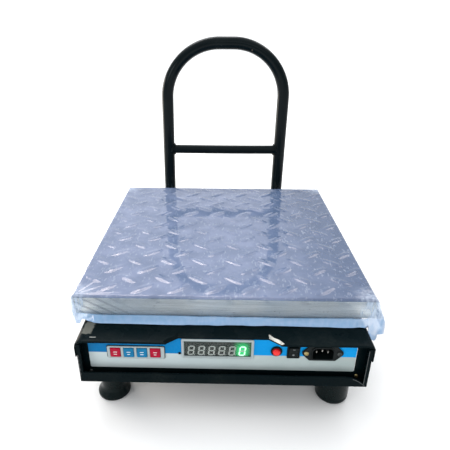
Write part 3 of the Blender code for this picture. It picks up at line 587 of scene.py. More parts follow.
def chequer_plate(look):
    """The platform: chequer plate folded down on its four sides."""
    low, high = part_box("platform_pan")
    top = high.z - LUG_HEIGHT
    flat = high.x - BEND

    def height(x, y):
        return top + LUG_HEIGHT * lug_pattern(x, y)

    def rings(border, out):
        for angle in (15, 30, 45, 60, 75, 90):
            turn = math.radians(angle)
            z = top - BEND * (1 - math.cos(turn))
            yield level(border, out, BEND * turn, BEND * math.sin(turn), z, turn)
        skirt = np.linspace(top - BEND - 0.001, low.z + 0.0006, 16)
        for z in skirt:
            yield level(border, out, top - z + BEND * 0.57, BEND, z, math.pi / 2)
        for inward, z in ((0.0004, low.z), (0.0026, low.z), (0.003, low.z + 0.0004), (0.003, top - 0.003)):
            place = border[:, :2] + out * (BEND - inward)
            yield np.column_stack([place, np.full(len(border), z)])

    def level(border, out, unrolled, outward, z, turn):
        spot = border[:, :2] + out * unrolled
        fade = np.clip(1 - unrolled / 0.011, 0, 1)
        raised = LUG_HEIGHT * 0.8 * fade * lug_pattern(spot[:, 0], spot[:, 1])
        place = border[:, :2] + out * (outward + raised * math.sin(turn))[:, None]
        return np.column_stack([place, z + raised * math.cos(turn)])

    made = linked("chequer_plate", sheet_mesh("chequer_plate", flat, 300, height, rings, bottom=True))
    made.data.set_sharp_from_angle(angle=math.radians(50))
    return finished(made, look, "platform", "chequer_steel", ["platform_pan"])


# How each corner's spare film hangs: side signs, push out at the hem, share of the front wall's
# flare that it loses, droop at the corner, droop beside it along the front or rear, and phase.
BAGS = ((-1, -1, -0.0035, 0.95, 0.0080, 0.0000, 0.4), (1, -1, 0.0130, 0.25, 0.0080, 0.0175, 1.9),
        (1, 1, 0.0060, 0.0, 0.0060, 0.0090, 3.1), (-1, 1, 0.0045, 0.0, 0.0060, 0.0080, 4.4))
BAG_REACH = 0.036
POUCH = 0.009                     # from a corner to the lowest point of its bag
PLEAT = 0.0105
HEM_Z = 0.1152
PRESSED = 0.0011                  # the hem stays this far above the hood, so a full load leaves it clear


def film_slack(x, y, flat):
    """Height of the long waves, comb, lines and corner fans of film that no lug holds."""
    waves = 0.5 + 0.5 * np.sin(x * 47 + 1.3 * np.sin(y * 31 + 0.5)) * np.sin(y * 39 + 1.1 * np.sin(x * 23))
    combs = (0.5 + 0.5 * np.sin(x * 310 + 2.0 * np.sin(y * 42))) * np.exp(-((y - 0.045) / 0.05) ** 2)
    lines = np.clip(np.sin(y * 260 + 6.0 * np.sin(x * 19) + 2.0 * np.sin(x * 57)), 0, 1) ** 4
    lines = lines * np.clip((y - 0.02) / 0.15, 0, 1)
    fans = np.zeros_like(x)
    for sx, sy, *_, phase in BAGS:
        dx, dy = x - sx * flat, y - sy * flat
        fans += np.abs(np.sin(7 * np.arctan2(dy, dx) + phase)) ** 6 * np.exp(-np.hypot(dx, dy) / 0.045)
    return 0.00022 * waves + 0.00002 * combs + 0.00012 * lines + 0.0008 * fans


def film_walls(tall):
    """Steps down the film's wall: (drop, out at the front, out at the sides, share of the way down)."""
    walls = [(0.0004, 0.0012, 0.0012, 0.0), (0.0014, 0.0024, 0.0022, 0.02),
             (0.0030, 0.0031, 0.0027, 0.05), (0.0055, 0.0034, 0.0029, 0.10)]
    shoulder = walls[-1][0]
    for share in np.linspace(0.18, 1.0, 15):
        flare = 0.0036 + 0.0022 * share + 0.0082 * max(0.0, share - 0.5) ** 1.4 / 0.5 ** 1.4
        walls.append((shoulder + (tall - shoulder) * share, flare, 0.0030 + 0.0010 * share, share))
    drop, front, side, _ = walls[-1]
    turned_up = [(drop + 0.0003, front + 0.0003, side + 0.0003, 1.0),
                 (drop, front - 0.0006, side - 0.0006, 0.99),
                 (drop - 0.0022, front - 0.0040, side - 0.0020, 0.93)]
    return walls + turned_up


def film_rings(border, out, top, flat):
    """Rings of points down the film's wall to its hem, with a pleated bag at each corner."""
    corner_gap = flat - np.min(np.abs(border[:, :2]), axis=1)
    on_side = np.abs(out[:, 0]) > 0
    along = np.where(on_side, border[:, 1], border[:, 0])
    travel = np.where(on_side, 1, -1) * corner_gap
    for drop, front, side, share in film_walls(top - HEM_Z):
        ripple = 0.0009 * share * np.sin(along * 90 + 2 * np.sin(along * 33) + 9 * share)
        slope = 0.0008 * share * np.sin(along * 21 + 0.7)
        outward = np.where(out[:, 1] < 0, front - side, 0.0)
        place = border[:, :2] + out * side
        place[:, 1] += out[:, 1] * np.maximum(ripple, 0.0) * (~on_side)
        z = top - drop + 0.0004 + slope
        for sx, sy, push, hug, low, beside, phase in BAGS:
            mine = (border[:, 0] * sx > 0) & (border[:, 1] * sy > 0)
            near = np.clip(1 - corner_gap / BAG_REACH, 0, 1) * mine
            near = near * near * (3 - 2 * near)
            outward = outward * (1 - hug * near)
            pleat = np.cos(2 * math.pi * travel / PLEAT + phase + 2.5 * share)
            if push > 0:
                shape, hold = share ** 0.9 - 1.5 * max(0.0, share - 0.7), 1
            else:
                shape, hold = np.clip(share - 0.6, 0, 1) / 0.4, 0.35
            loose = near * share * hold
            place[:, 0] += sx * (near * shape * push + loose * 0.0012 * (pleat + 1))
            place[:, 1] += sy * loose * 0.0013 * (pleat + 1)
            start = low + beside * math.exp(-(POUCH / 0.006) ** 2)
            droop = low * np.exp(-(corner_gap / 0.005) ** 2)
            droop += beside * np.exp(-((corner_gap - POUCH) / 0.006) ** 2)
            droop = np.where(on_side, start * np.exp(-(corner_gap / 0.014) ** 2), droop)
            z = z - mine * droop * share ** 1.5 * (1 + 0.08 * pleat)
        place[:, 1] -= outward
        yield np.column_stack([place, z])


def crumpled(mesh, top, flat, skirt):
    """Crumples the film's wall most at its corners, and keeps its hem off the plate and the hood."""
    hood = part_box("hood")[1]
    for vertex in mesh.vertices:
        spot = vertex.co
        if spot.z >= top - 0.002:
            continue
        depth = (top - spot.z) / (top - HEM_Z)
        corner = min(1.0, max(0.0, 1 - (flat - min(abs(spot.x), abs(spot.y))) / BAG_REACH))
        crumple = noise.noise_vector(spot * 120) * 0.0009 + noise.noise_vector(spot * 260) * 0.0005
        if depth < skirt + 0.1:
            crumple.x = max(0.0, crumple.x * spot.x) / abs(spot.x)
            crumple.y = max(0.0, crumple.y * spot.y) / abs(spot.y)
        vertex.co = spot + crumple * depth * (0.05 + 0.9 * corner)
        if abs(vertex.co.x) < hood.x + 0.001 and vertex.co.y < hood.y + 0.001:
            vertex.co.z = max(vertex.co.z, hood.z + PRESSED)


def film_sheet(look):
    """Loose clear film over the plate, its hem hanging below the skirt and its corners bunched."""
    pan_low, pan_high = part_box("platform_pan")
    top = pan_high.z - LUG_HEIGHT
    flat = pan_high.x - BEND + 0.001

    def height(x, y):
        return top + 0.0004 + 0.00108 * lug_pattern(x, y, 0.0022, 0.8) + film_slack(x, y, flat)

    def rings(border, out):
        return film_rings(border, out, top, flat)

    mesh = sheet_mesh("film_sheet", flat, 304, height, rings)
    crumpled(mesh, top, flat, (top - pan_low.z) / (top - HEM_Z))
    made = finished(linked("film_sheet", mesh), look, "platform", "polythene_film", ["film_cover"])
    return made


# ---- handle -------------------------------------------------------------------------
HANDLE_BEND = 0.098
LEAN = 0.008                      # the loop leans this share of its height to the right
LEAN_FROM = 0.150


def handle_path():
    """Centreline of the handle as (x, z, heading), evenly enough spaced for a smooth tube."""
    low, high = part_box("handle_tube")
    radius = (high.y - low.y) / 2
    half, top = high.x - radius, high.z - radius
    centre_x, centre_z = half - HANDLE_BEND, top - HANDLE_BEND
    path = [(-half, z, math.pi / 2) for z in np.linspace(low.z, centre_z, 40)[:-1]]
    for i in range(31):
        turn = math.pi / 2 * i / 30
        spot = (-centre_x - HANDLE_BEND * math.cos(turn), centre_z + HANDLE_BEND * math.sin(turn))
        path.append((*spot, math.pi / 2 - turn))
    path += [(-x, z, -heading) for x, z, heading in reversed(path)]
    return [(x + LEAN * max(0.0, z - LEAN_FROM), z, heading) for x, z, heading in path]


def handle_loop(look):
    """The bent tube, a little flattened through its bends, and open at its lower ends."""
    low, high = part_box("handle_tube")
    radius, y = (high.y - low.y) / 2, (high.y + low.y) / 2
    sides = 40
    loops = []
    for wall in (0.0, 0.002):
        run = []
        for x, z, heading in handle_path():
            squeeze = 1 - 0.035 * math.sin(2 * abs(heading)) ** 2
            loop = []
            for k in range(sides):
                angle = 2 * math.pi * k / sides
                across = (radius - wall) * squeeze * math.cos(angle)
                loop.append((x - across * math.sin(heading), y + (radius - wall) * math.sin(angle),
                             z + across * math.cos(heading)))
            run.append(loop)
        loops += run if wall == 0.0 else run[::-1]
    piece("handle_loop", stacked(loops, closed=True), look, "base", "black_paint", ["handle_tube"], sharp=50)


def crossbar(look):
    """Round bar welded between the posts, with a bead round each end."""
    low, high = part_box("handle_crossbar")
    tube_low, tube_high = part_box("handle_tube")
    centre = (low + high) / 2
    radius, post = (high.z - low.z) / 2, (tube_high.y - tube_low.y) / 2
    post_x = tube_high.x - post
    sides, loops = 36, []
    for share in np.linspace(-1, 1, 31):
        loop = []
        for k in range(sides):
            angle = 2 * math.pi * k / sides
            y, z = radius * math.cos(angle), radius * math.sin(angle)
            reach = post_x - math.sqrt(post ** 2 - y ** 2) - GAP
            sag = 0.0005 * (1 - share * share)
            loop.append((share * reach + LEAN * (centre.z - LEAN_FROM), centre.y + y, centre.z + z - sag))
        loops.append(loop)
    piece("handle_bar", stacked(loops), look, "base", "black_paint", ["handle_crossbar"], sharp=50)
    for side, across in ((-1, "left"), (1, "right")):
        ring = []
        for k in range(44):
            angle = 2 * math.pi * k / 44
            y, z = (radius + 0.0010) * math.cos(angle), (radius + 0.0010) * math.sin(angle)
            reach = post_x - math.sqrt(post ** 2 - y ** 2) - 0.0006
            ring.append((side * reach + LEAN * (centre.z - LEAN_FROM), centre.y + y, centre.z + z))
        bead(f"crossbar_weld_{across}", ring, 0.0019, look, "base", "black_paint", cyclic=True)


def saddles(look):
    """The handle's saddles on the rear wall, with a weld down each side of the tube."""
    tube_low, tube_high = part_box("handle_tube")
    radius = (tube_high.y - tube_low.y) / 2
    y = (tube_high.y + tube_low.y) / 2
    for across in ("left", "right"):
        node = f"handle_saddle_{across}"
        low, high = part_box(node)
        x = (low.x + high.x) / 2
        dressed(node, look, 0.0008)
        for hand, which in ((-1, "inner"), (1, "outer")):
            run = []
            for z in np.linspace(low.z + 0.002, high.z - 0.002, 30):
                run.append((x + hand * (radius + 0.0012), y - 0.0002, z))
            bead(f"saddle_weld_{across}_{which}", run, 0.0020, look, "base", "black_paint")


# ---- base ---------------------------------------------------------------------------
def hood_shell(look):
    """The hood: a folded cover that rolls off at its ends, with the display notch cut out."""
    low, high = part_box("hood")
    top, thick = high.z, 0.0016
    right = [(0.1705, top), (0.1730, top - 0.0003)]
    right += arc((0.1728, top - 0.0072), 0.0068, 80, 14, 6)
    right += [(0.1800, 0.1040), (0.1796, 0.0990), (0.1788, 0.0955), (0.1780, low.z)]
    left = [(-0.1650, top), (-0.1705, top - 0.0003), (-0.1740, top - 0.0011)]
    left += [(-0.1762, top - 0.0024), (-0.1775, top - 0.0044), (-0.1781, top - 0.0080)]
    left += [(-0.1782, 0.1020), (-0.1782, low.z)]
    section = left[::-1] + [(x, top) for x in np.linspace(-0.150, 0.160, 40)] + right
    depth = np.concatenate([[0.0, 0.0008, 0.0022], np.linspace(0.006, high.y - low.y, 16)])
    bm = bmesh.new()
    rows = []
    for y in depth:
        row = []
        for x, z in section:
            wave = 0.00025 * math.sin(x * 41 + 1.0) * math.exp(-y / 0.02)
            roll = 0.0007 * max(0.0, 1 - y / 0.0022) ** 2
            drawn = max(0.0, x - 0.1782) * (1 - min(1.0, y / 0.030))
            row.append(bm.verts.new((x - drawn, low.y + y, z + (wave if abs(x) < 0.17 else 0.0) - roll)))
        rows.append(row)
    for first, second in zip(rows, rows[1:]):
        for i in range(len(section) - 1):
            bm.faces.new((first[i], first[i + 1], second[i + 1], second[i]))
    made = piece("hood_shell", bm, look, "base", "black_paint", ["hood"], sharp=60)
    shell = made.modifiers.new("Sheet", "SOLIDIFY")
    shell.thickness = thick
    shell.offset = 1.0 if made.data.polygons[len(section)].normal.z < 0 else -1.0
    baked(made)
    left_flap, right_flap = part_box("hood_flap_left"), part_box("hood_flap_right")
    back_y = left_flap[1].y
    wide, narrow = right_flap[1].x, right_flap[0].x
    slope = (wide - narrow) / (back_y - left_flap[0].y)
    ahead = 0.006
    reach = wide + slope * ahead
    outline = [(-reach, low.y - ahead), (reach, low.y - ahead), (narrow, back_y), (-narrow, back_y)]
    cut(made, prism(outline, "z", top - 0.02, top + 0.02))
    rounded_edges(made, 0.00035, 2, 40)
    return made


def hood_flaps(dark, bright):
    """The notch's slanted edges, bent up into flaps that are tallest at the back."""
    # The right flap's pale steel look is a painted highlight; the left flap keeps the black paint.
    for side, across, look, slot in ((-1, "left", dark, "black_paint"), (1, "right", bright, "bare_steel")):
        node = f"hood_flap_{across}"
        low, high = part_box(node)
        near, far = (high.x, low.x) if side > 0 else (low.x, high.x)
        thick = 0.0012
        loops = []
        for share in np.linspace(0, 1, 12):
            x = near + (far - near) * share - side * thick * (1 - share)
            y = low.y + (high.y - low.y) * share
            rise = (high.z - low.z) * (0.42 + 0.60 * share - 0.10 * math.cos(share * 9))
            lean = side * (0.0030 - 0.0040 * share)
            bottom, top = low.z, low.z + rise
            loops.append([(x, y, bottom), (x + side * thick, y, bottom), (x + side * thick + lean, y, top),
                          (x + lean, y, top)])
        piece(f"notch_flap_{across}", stacked(loops), look, "base", slot, [node], edge=0.0003)


# The front lip's top edge, from where its right-hand corner begins to drop.
LIP_TOP = 0.0660
LIP_CORNER = ((0.1480, 0.0660), (0.1530, 0.0654), (0.1580, 0.0645), (0.1618, 0.0629), (0.1650, 0.0610),
              (0.1686, 0.0583), (0.1712, 0.0560))
FLANGE = 0.0045


def tray(look, wear_and_highlight):
    """The folded tray keeps its CAD shape; a rolled lip, edges with wear, and a painted highlight along the
    right flange finish its front.
    """
    dressed("base_tray", look, 0.0006, 3)
    low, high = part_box("base_tray")
    run = []
    for x in np.linspace(low.x + FLANGE + 0.0005, LIP_CORNER[0][0], 60)[:-1]:
        z = LIP_TOP - 0.0001 + 0.00022 * math.sin(x * 55) + 0.00015 * math.sin(x * 131)
        run.append((x, low.y + 0.0010, z))
    run += [(x, low.y + 0.0010, z) for x, z in LIP_CORNER]
    bead("tray_lip_roll", run, 0.0009, look, "base", "black_paint", ripple=0.0)
    drop = [(x, low.y - 0.0001, z - 0.0006) for x, z in LIP_CORNER[2:]] + [(0.1730, low.y - 0.0001, 0.0540)]
    bead("tray_lip_corner", drop, 0.00045, wear_and_highlight, "base", "black_paint", ripple=0.3)
    # A pale run down the right flange's fold: a painted highlight.
    edge = [(high.x - FLANGE + 0.0002, low.y - 0.0001, z) for z in np.linspace(0.0560, 0.1080, 40)]
    bead("tray_flange_highlight", edge, 0.00042, wear_and_highlight, "base", "black_paint", ripple=0.25)
    peel = []
    for z in np.linspace(0.0600, 0.0940, 60):
        peel.append((low.x + 0.0010 + 0.0004 * math.sin(z * 900), low.y - 0.0001, z))
    bead("tray_edge_peel", peel, 0.00055, wear_and_highlight, "base", "black_paint", ripple=0.7)


def foot_bodies(look):
    """Turned rubber feet: the front left one flared, the others plain with a rounded base."""
    for name in ("front_left", "front_right", "rear_left", "rear_right"):
        node = f"foot_{name}_rubber"
        low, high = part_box(node)
        centre = ((low.x + high.x) / 2, (low.y + high.y) / 2, 0)
        radius, top = (high.x - low.x) / 2, high.z
        bore = 0.0053
        if name == "front_left":
            neck = radius - 0.0055
            outside = [(0.0005, 0.0012), (radius - 0.0055, 0.0012), (radius - 0.005, 0.0)]
            outside += arc((radius - 0.0018, 0.0018), 0.0018, -90, 0, 5)
            outside += [(radius, 0.0038), (radius - 0.0006, 0.0052), (neck + 0.0018, 0.0088),
                        (neck + 0.0003, 0.0120), (neck, 0.0160), (neck + 0.0002, 0.0300), (neck, 0.0395),
                        (neck - 0.0007, 0.0400), (neck - 0.0007, 0.0408), (neck, 0.0413)]
        else:
            outside = [(0.0005, 0.0012), (radius - 0.0085, 0.0012), (radius - 0.0080, 0.0)]
            outside += arc((radius - 0.0058, 0.0058), 0.0058, -90, -8, 8)
            outside += [(radius - 0.0003, 0.0075), (radius - 0.0008, 0.0079), (radius - 0.0008, 0.0086),
                        (radius, 0.0090), (radius, 0.0260), (radius - 0.0002, 0.0390),
                        (radius - 0.0008, 0.0394), (radius - 0.0008, 0.0402), (radius, 0.0406)]
            neck = radius
        rim = [(neck, top - 0.0012), (neck - 0.0004, top - 0.0004), (neck - 0.0012, top)]
        profile = outside + rim + [(bore + 0.0012, top), (bore, top - 0.0006), (bore, top - 0.020)]
        rubber = turned(profile, centre, (0, 0, 1), 64)
        piece(f"foot_body_{name}", rubber, look, f"foot_{name}", "black_rubber", [node], sharp=28)


def foot_studs(look):
    """Threaded studs, with the thread as turned rings."""
    for name in ("front_left", "front_right", "rear_left", "rear_right"):
        node = f"foot_{name}_stud"
        low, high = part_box(node)
        centre = ((low.x + high.x) / 2, (low.y + high.y) / 2, 0)
        radius = (high.x - low.x) / 2
        pitch = 0.0015
        profile = [(0.0005, low.z), (radius - 0.0008, low.z)]
        turns = int((high.z - low.z - 0.002) / pitch)
        for i in range(turns):
            z = low.z + 0.0005 + i * pitch
            profile += [(radius - 0.0007, z), (radius, z + pitch * 0.5)]
        profile += [(radius - 0.0008, high.z - 0.0008), (radius - 0.0015, high.z), (0.0005, high.z)]
        stud = turned(profile, centre, (0, 0, 1), 32)
        piece(f"foot_thread_{name}", stud, look, f"foot_{name}", "zinc_steel", [node], sharp=80)


# ---- control panel ------------------------------------------------------------------
def label(look, rim):
    """The printed vinyl label, with round corners, a pale edge and every opening cut through it."""
    low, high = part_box("panel_label")
    made = piece("panel_print", plaque("panel_label", 0.0020, [(0, 0), (0, high.y - low.y)]), look,
                 "base", "panel_vinyl", ["panel_label"])
    near, far = low.y - 0.002, high.y + 0.002
    tool = bmesh.new()
    for number in (1, 2, 3, 4):
        grown(f"key_{number}", 0.0004, near, far, tool)
    grown("display_window", 0.0004, near, far, tool)
    for node in ("status_lamp", "push_button"):
        spot = (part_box(node)[0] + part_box(node)[1]) / 2
        reach = 0.0004 if node == "status_lamp" else 0.0017
        size = (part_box(node)[1].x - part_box(node)[0].x) / 2 + reach
        turned([(size, near), (size, far)], (spot.x, 0, spot.z), (0, 1, 0), 24, bm=tool)
    grown("rocker_housing", -0.0006, near, far, tool)
    low_in, high_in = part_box("inlet_housing")
    box((low_in.x + 0.0112, near, low_in.z + 0.0012), (high_in.x - 0.0112, far, high_in.z - 0.0012), tool)
    for side in ("left", "right"):
        spot = (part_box(f"inlet_screw_{side}")[0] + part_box(f"inlet_screw_{side}")[1]) / 2
        turned([(0.002, near), (0.002, far)], (spot.x, 0, spot.z), (0, 1, 0), 16, bm=tool)
    cut(made, tool)
    smooth(made.data)
    edge = [(high.x - 0.0002, low.y - 0.0001, z) for z in np.linspace(low.z + 0.0022, high.z - 0.0010, 30)]
    bead("panel_print_edge", edge, 0.00022, rim, "base", "grey_plastic", ripple=0.1)


def keypad(grey, dark, red, blue, pale):
    """Keypad frame on a thin dark plate that shows round it as a dark outline, and four pillowed keys with
    plain dashes on them.
    """
    low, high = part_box("keypad_frame")
    depth = high.y - low.y
    # A thin dark plate a little larger than the frame, showing as a dark outline round it.
    dark_border = plaque("keypad_frame", 0.0024, [(0, depth - 0.0002), (0, depth + 0.00025)], grow=0.0008)
    dark_border = piece("keypad_dark_border", dark_border, dark, "base", "black_plastic")
    holder = plaque("keypad_frame", 0.0022, [(0.0008, 0.0), (0.0, 0.0004), (0.0, depth)])
    holder = piece("keypad_surround", holder, grey, "base", "grey_plastic", ["keypad_frame"])
    for target in (holder, dark_border):
        tool = bmesh.new()
        for number in (1, 2, 3, 4):
            grown(f"key_{number}", 0.0003, low.y - 0.004, high.y + 0.004, tool)
        cut(target, tool)
    rounded_edges(holder, 0.00022)
    for number, look in zip((1, 2, 3, 4), (red, blue, blue, red)):
        node = f"key_{number}"
        key_low, key_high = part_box(node)
        size = key_high.y - key_low.y
        profile = [(0.0030, 0.0), (0.0014, 0.00006), (0.0006, 0.0002), (0.0002, 0.0005), (0.0, 0.0010)]
        cap = plaque(node, 0.0016, profile + [(0.0, size)])
        slot = "key_red" if look is red else "key_blue"
        piece(f"key_cap_{number}", cap, look, node, slot, [node], sharp=60)
        centre = (key_low + key_high) / 2
        marks = bmesh.new()
        for rise, half in ((0.0012, 0.0024), (-0.0022, 0.0017 + 0.0004 * (number % 2))):
            dash = rounded(2 * half, 0.0009, 0.0004, 3)
            outline = [(centre.x + p.x, centre.z + rise + p.y) for p in dash]
            prism(outline, "y", key_low.y - 0.00006, key_low.y + 0.0002, marks)
        piece(f"key_marks_{number}", marks, pale, node, "grey_plastic")


SEGMENTS = {"a": ((-1, 1), (1, 1)), "b": ((1, 1), (1, 0)), "c": ((1, 0), (1, -1)), "d": ((-1, -1), (1, -1)),
            "e": ((-1, 0), (-1, -1)), "f": ((-1, 1), (-1, 0)), "g": ((-1, 0), (1, 0))}
DIGIT = (0.0032, 0.0064)
DIGIT_PITCH = 0.0125
DIGIT_LEAN = math.tan(math.radians(7))
SEGMENT = 0.00090


def segment(bm, centre, name, front, back):
    """One bar of a digit: a long lozenge with pointed ends, leaning with the digit."""
    ends = [Vector((p[0] * DIGIT[0], p[1] * DIGIT[1])) for p in SEGMENTS[name]]
    along = (ends[1] - ends[0]).normalized()
    across = Vector((-along.y, along.x)) * SEGMENT
    start, end = ends[0] + along * 0.0002, ends[1] - along * 0.0002
    outline = [start, start + along * SEGMENT + across, end - along * SEGMENT + across,
               end, end - along * SEGMENT - across, start + along * SEGMENT - across]
    spots = [(centre.x + p.x + p.y * DIGIT_LEAN, centre.z + p.y) for p in outline]
    prism(spots, "y", front, back, bm)


def display(grey, face, pane, ghost, lit):
    """Bezel, smoked pane, and six seven-bar digits of which the last shows a lit nought."""
    low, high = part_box("display_bezel")
    depth = high.y - low.y
    rim = [(0.0, depth), (0.0, 0.0007), (0.0003, 0.0002), (0.0008, 0.0), (0.0018, 0.0), (0.0020, 0.0006),
           (0.0025, 0.0006), (0.0027, 0.0003), (0.0031, 0.0005), (0.0032, depth)]
    surround = plaque("display_bezel", 0.0018, rim, closed=True)
    piece("display_surround", surround, grey, "base", "grey_plastic", ["display_bezel"], sharp=40)
    win_low, win_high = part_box("display_window")
    thick = win_high.y - win_low.y
    glass = plaque("display_window", 0.0010, [(0.0002, 0.0), (0.0, 0.0002), (0.0, thick)])
    piece("display_pane", glass, pane, "base", "smoked_window", ["display_window"])
    dressed("led_display", face, 0.0003)
    led_low, led_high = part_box("led_display")
    mask = grown("display_window", -0.0003, led_low.y + 0.0006, led_low.y + 0.0014)
    mask = piece("display_mask", mask, face, "base", "black_plastic")
    cut(mask, grown("led_display", 0.0002, led_low.y - 0.002, led_low.y + 0.004))
    middle = (led_low + led_high) / 2 - Vector((0.0010, 0, 0))
    front, back = led_low.y - 0.00018, led_low.y + 0.0003
    off, on = bmesh.new(), bmesh.new()
    for place in range(6):
        centre = middle + Vector(((place - 2.5) * DIGIT_PITCH, 0, 0))
        for name in SEGMENTS:
            bm = on if place == 5 and name != "g" else off
            segment(bm, centre, name, front, back)
        dot = (centre.x + DIGIT[0] + 0.0014 - DIGIT[1] * DIGIT_LEAN, 0, centre.z - DIGIT[1])
        turned([(0.0007, front), (0.0007, back)], dot, (0, 1, 0), 16, bm=off)
    piece("display_bars_off", off, ghost, "base", "grey_plastic")
    piece("display_bars_lit", on, lit, "base", "grey_plastic")


def round_button(black, red):
    """Push button: a chamfered ring and a domed cap."""
    low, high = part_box("button_housing")
    centre = (low + high) / 2
    spot = (centre.x, low.y, centre.z)
    outer = (high.x - low.x) / 2
    cap_low, cap_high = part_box("push_button")
    radius = (cap_high.x - cap_low.x) / 2
    depth = high.y - low.y
    bore = radius + 0.00025
    ring = [(bore, 0.0004), (bore + 0.0004, 0.0), (outer - 0.0009, 0.0)]
    ring += [(outer - 0.0003, 0.0003), (outer, 0.0009), (outer, 0.0019), (outer - 0.0011, 0.0019),
             (outer - 0.0011, depth), (bore, depth)]
    piece("button_ring", turned(ring, spot, (0, 1, 0), closed=True), black, "base", "black_plastic",
          ["button_housing"])
    spot = (centre.x, cap_low.y, centre.z)
    cap = [(0.0002, 0.0), (0.0012, 0.00008), (0.0024, 0.00036), (0.0034, 0.00084), (radius - 0.0007, 0.0014),
           (radius - 0.0002, 0.0022), (radius, 0.0032), (radius, cap_high.y - cap_low.y)]
    piece("button_cap", turned(cap, spot, (0, 1, 0)), red, "push_button", "button_red", ["push_button"])


def rocker(black, pale):
    """Mains switch: rounded frame round a well, and a hollow-faced rocker with plain marks."""
    low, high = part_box("rocker_housing")
    depth = high.y - low.y
    well = 0.0018
    frame_profile = [(0.0010, depth), (0.0010, 0.0020), (0.0, 0.0019), (0.0, 0.0007), (0.0006, 0.0),
                     (well - 0.0005, 0.0), (well - 0.0001, 0.0004), (well, 0.0118), (well, depth - 0.0010)]
    piece("rocker_frame", plaque("rocker_housing", 0.0012, frame_profile, closed=True), black, "base",
          "black_plastic", ["rocker_housing"])
    node_low, node_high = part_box("power_rocker")
    joint = next(j for j in frame["record"]["behaviour"]["joints"] if j["name"] == "power_rocker_tilt")
    pivot = Vector(joint["pos_m"])
    tilt = Matrix.Rotation(math.radians(10), 2)
    shape = []
    for share in np.linspace(-1, 1, 17):
        reach = 0.0060 + 0.0006 * math.cos(share * math.pi) - 0.0016 * (1 - abs(share))
        shape.append((-reach + 0.0006, share * -0.0080))
    shape += [(-0.0020, -0.0080), (0.0030, -0.0025), (0.0030, 0.0025), (-0.0020, 0.0080)]
    spots = [tilt @ Vector(p) + Vector((pivot.y, pivot.z)) for p in shape]
    paddle = prism(spots, "x", node_low.x, node_high.x)
    piece("rocker_paddle", paddle, black, "power_rocker", "black_plastic", ["power_rocker"], edge=0.0003)
    marks = bmesh.new()
    middle = (node_low.x + node_high.x) / 2
    dash, ring = rounded(0.0032, 0.0006, 0.0002, 2), rounded(0.0026, 0.0026, 0.00129, 6)
    for rise, outline in ((0.0048, dash), (-0.0046, ring)):
        face = min(spots, key=lambda p: abs(p.y - pivot.z - rise) + (10 if p.x > pivot.y - 0.001 else 0))
        run = [(middle + p.x, pivot.z + rise + p.y) for p in outline]
        prism(run, "y", face.x - 0.0002, face.x + 0.0012, marks)
    piece("rocker_marks", marks, pale, "power_rocker", "grey_plastic")


def inlet(black, nickel):
    """Appliance inlet: rounded flange and raised collar round the socket, with three flat pins."""
    low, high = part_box("inlet_housing")
    centre = (low + high) / 2
    face = low.y + 0.0012
    ear, ear_high, half, tall = (high.x - low.x) / 2, 0.0046, 0.0150, (high.z - low.z) / 2
    outline = []
    for side in (1, -1):
        outline += [(side * half, side * -tall), (side * (half + 0.0012), side * (-tall + 0.0003))]
        outline += [(side * (ear - 0.0046 + x), side * z) for x, z in arc((0, 0), ear_high, -58, 58, 10)]
        outline += [(side * (half + 0.0012), side * (tall - 0.0003)), (side * half, side * tall)]
    outline = [(centre.x + x, centre.z + z) for x, z in outline]
    made = piece("inlet_flange", prism(outline, "y", face, face + 0.0020), black, "base", "black_plastic")

    def shell(width, height, corner, x_scale=1.0):
        w, h = width * x_scale, height
        return [(-w, -h + 0.001), (-w + 0.001, -h), (w - 0.001, -h), (w, -h + 0.001), (w, h - corner),
                (w - corner, h), (-w + corner, h), (-w, h - corner)]

    body = [(centre.x + x, centre.z + z) for x, z in shell(0.0136, 0.0098, 0.0040)]
    cavity = [(centre.x + x, centre.z + z) for x, z in shell(0.0124, 0.0079, 0.0035)]
    cut(made, prism([(centre.x + x, centre.z + z) for x, z in shell(0.0134, 0.0096, 0.0040)], "y",
                    face - 0.01, face + 0.01))
    rounded_edges(made, 0.0005, 3)
    collar = piece("inlet_shell", prism(body, "y", low.y, high.y), black, "base", "black_plastic",
                   ["inlet_housing"])
    cut(collar, prism(cavity, "y", low.y - 0.01, high.y - 0.003))
    rounded_edges(collar, 0.0004, 2)
    for name in ("neutral", "earth", "live"):
        node = f"inlet_pin_{name}"
        pin_low, pin_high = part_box(node)
        size = pin_high.y - pin_low.y
        profile = [(0.0006, 0.0), (0.0003, 0.0003), (0.0, 0.0010), (0.0, size)]
        blade = plaque(node, 0.0003, profile)
        piece(f"inlet_blade_{name}", blade, nickel, "base", "nickel_pin", [node], sharp=50)


def screws(brass, dark):
    """Pan-head screws with a cross recess, in place of the CAD's plain heads."""
    looks = {"inlet_screw_left": (brass, 0.0030), "inlet_screw_right": (dark, 0.0030),
             "panel_screw_left": (dark, 0.0026), "panel_screw_right": (brass, 0.0026)}
    for number, (node, (look, radius)) in enumerate(looks.items()):
        low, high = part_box(node)
        centre = (low + high) / 2
        spot = (centre.x, low.y, centre.z)
        shank = radius * 0.5
        profile = [(0.0002, 0.0), (radius * 0.45, 0.0001), (radius * 0.80, 0.0006), (radius, 0.0013),
                   (radius, 0.0016), (shank, 0.0016), (shank, high.y - low.y)]
        head = turned(profile, spot, (0, 1, 0), 32)
        made = piece(f"{node}_head", head, look, "base", "brass_screw", [node])
        turn = Matrix.Rotation(math.radians(20 + 37 * number), 2)
        for long, wide in ((radius * 0.72, radius * 0.13), (radius * 0.13, radius * 0.72)):
            run = [turn @ Vector(p) for p in ((-long, -wide), (long, -wide), (long, wide), (-long, wide))]
            run = [(centre.x + p.x, centre.z + p.y) for p in run]
            bar = prism(run, "y", low.y - 0.001, low.y + 0.0009 + 0.00004 * (long > wide))
            cut(made, bar)
        smooth(made.data)


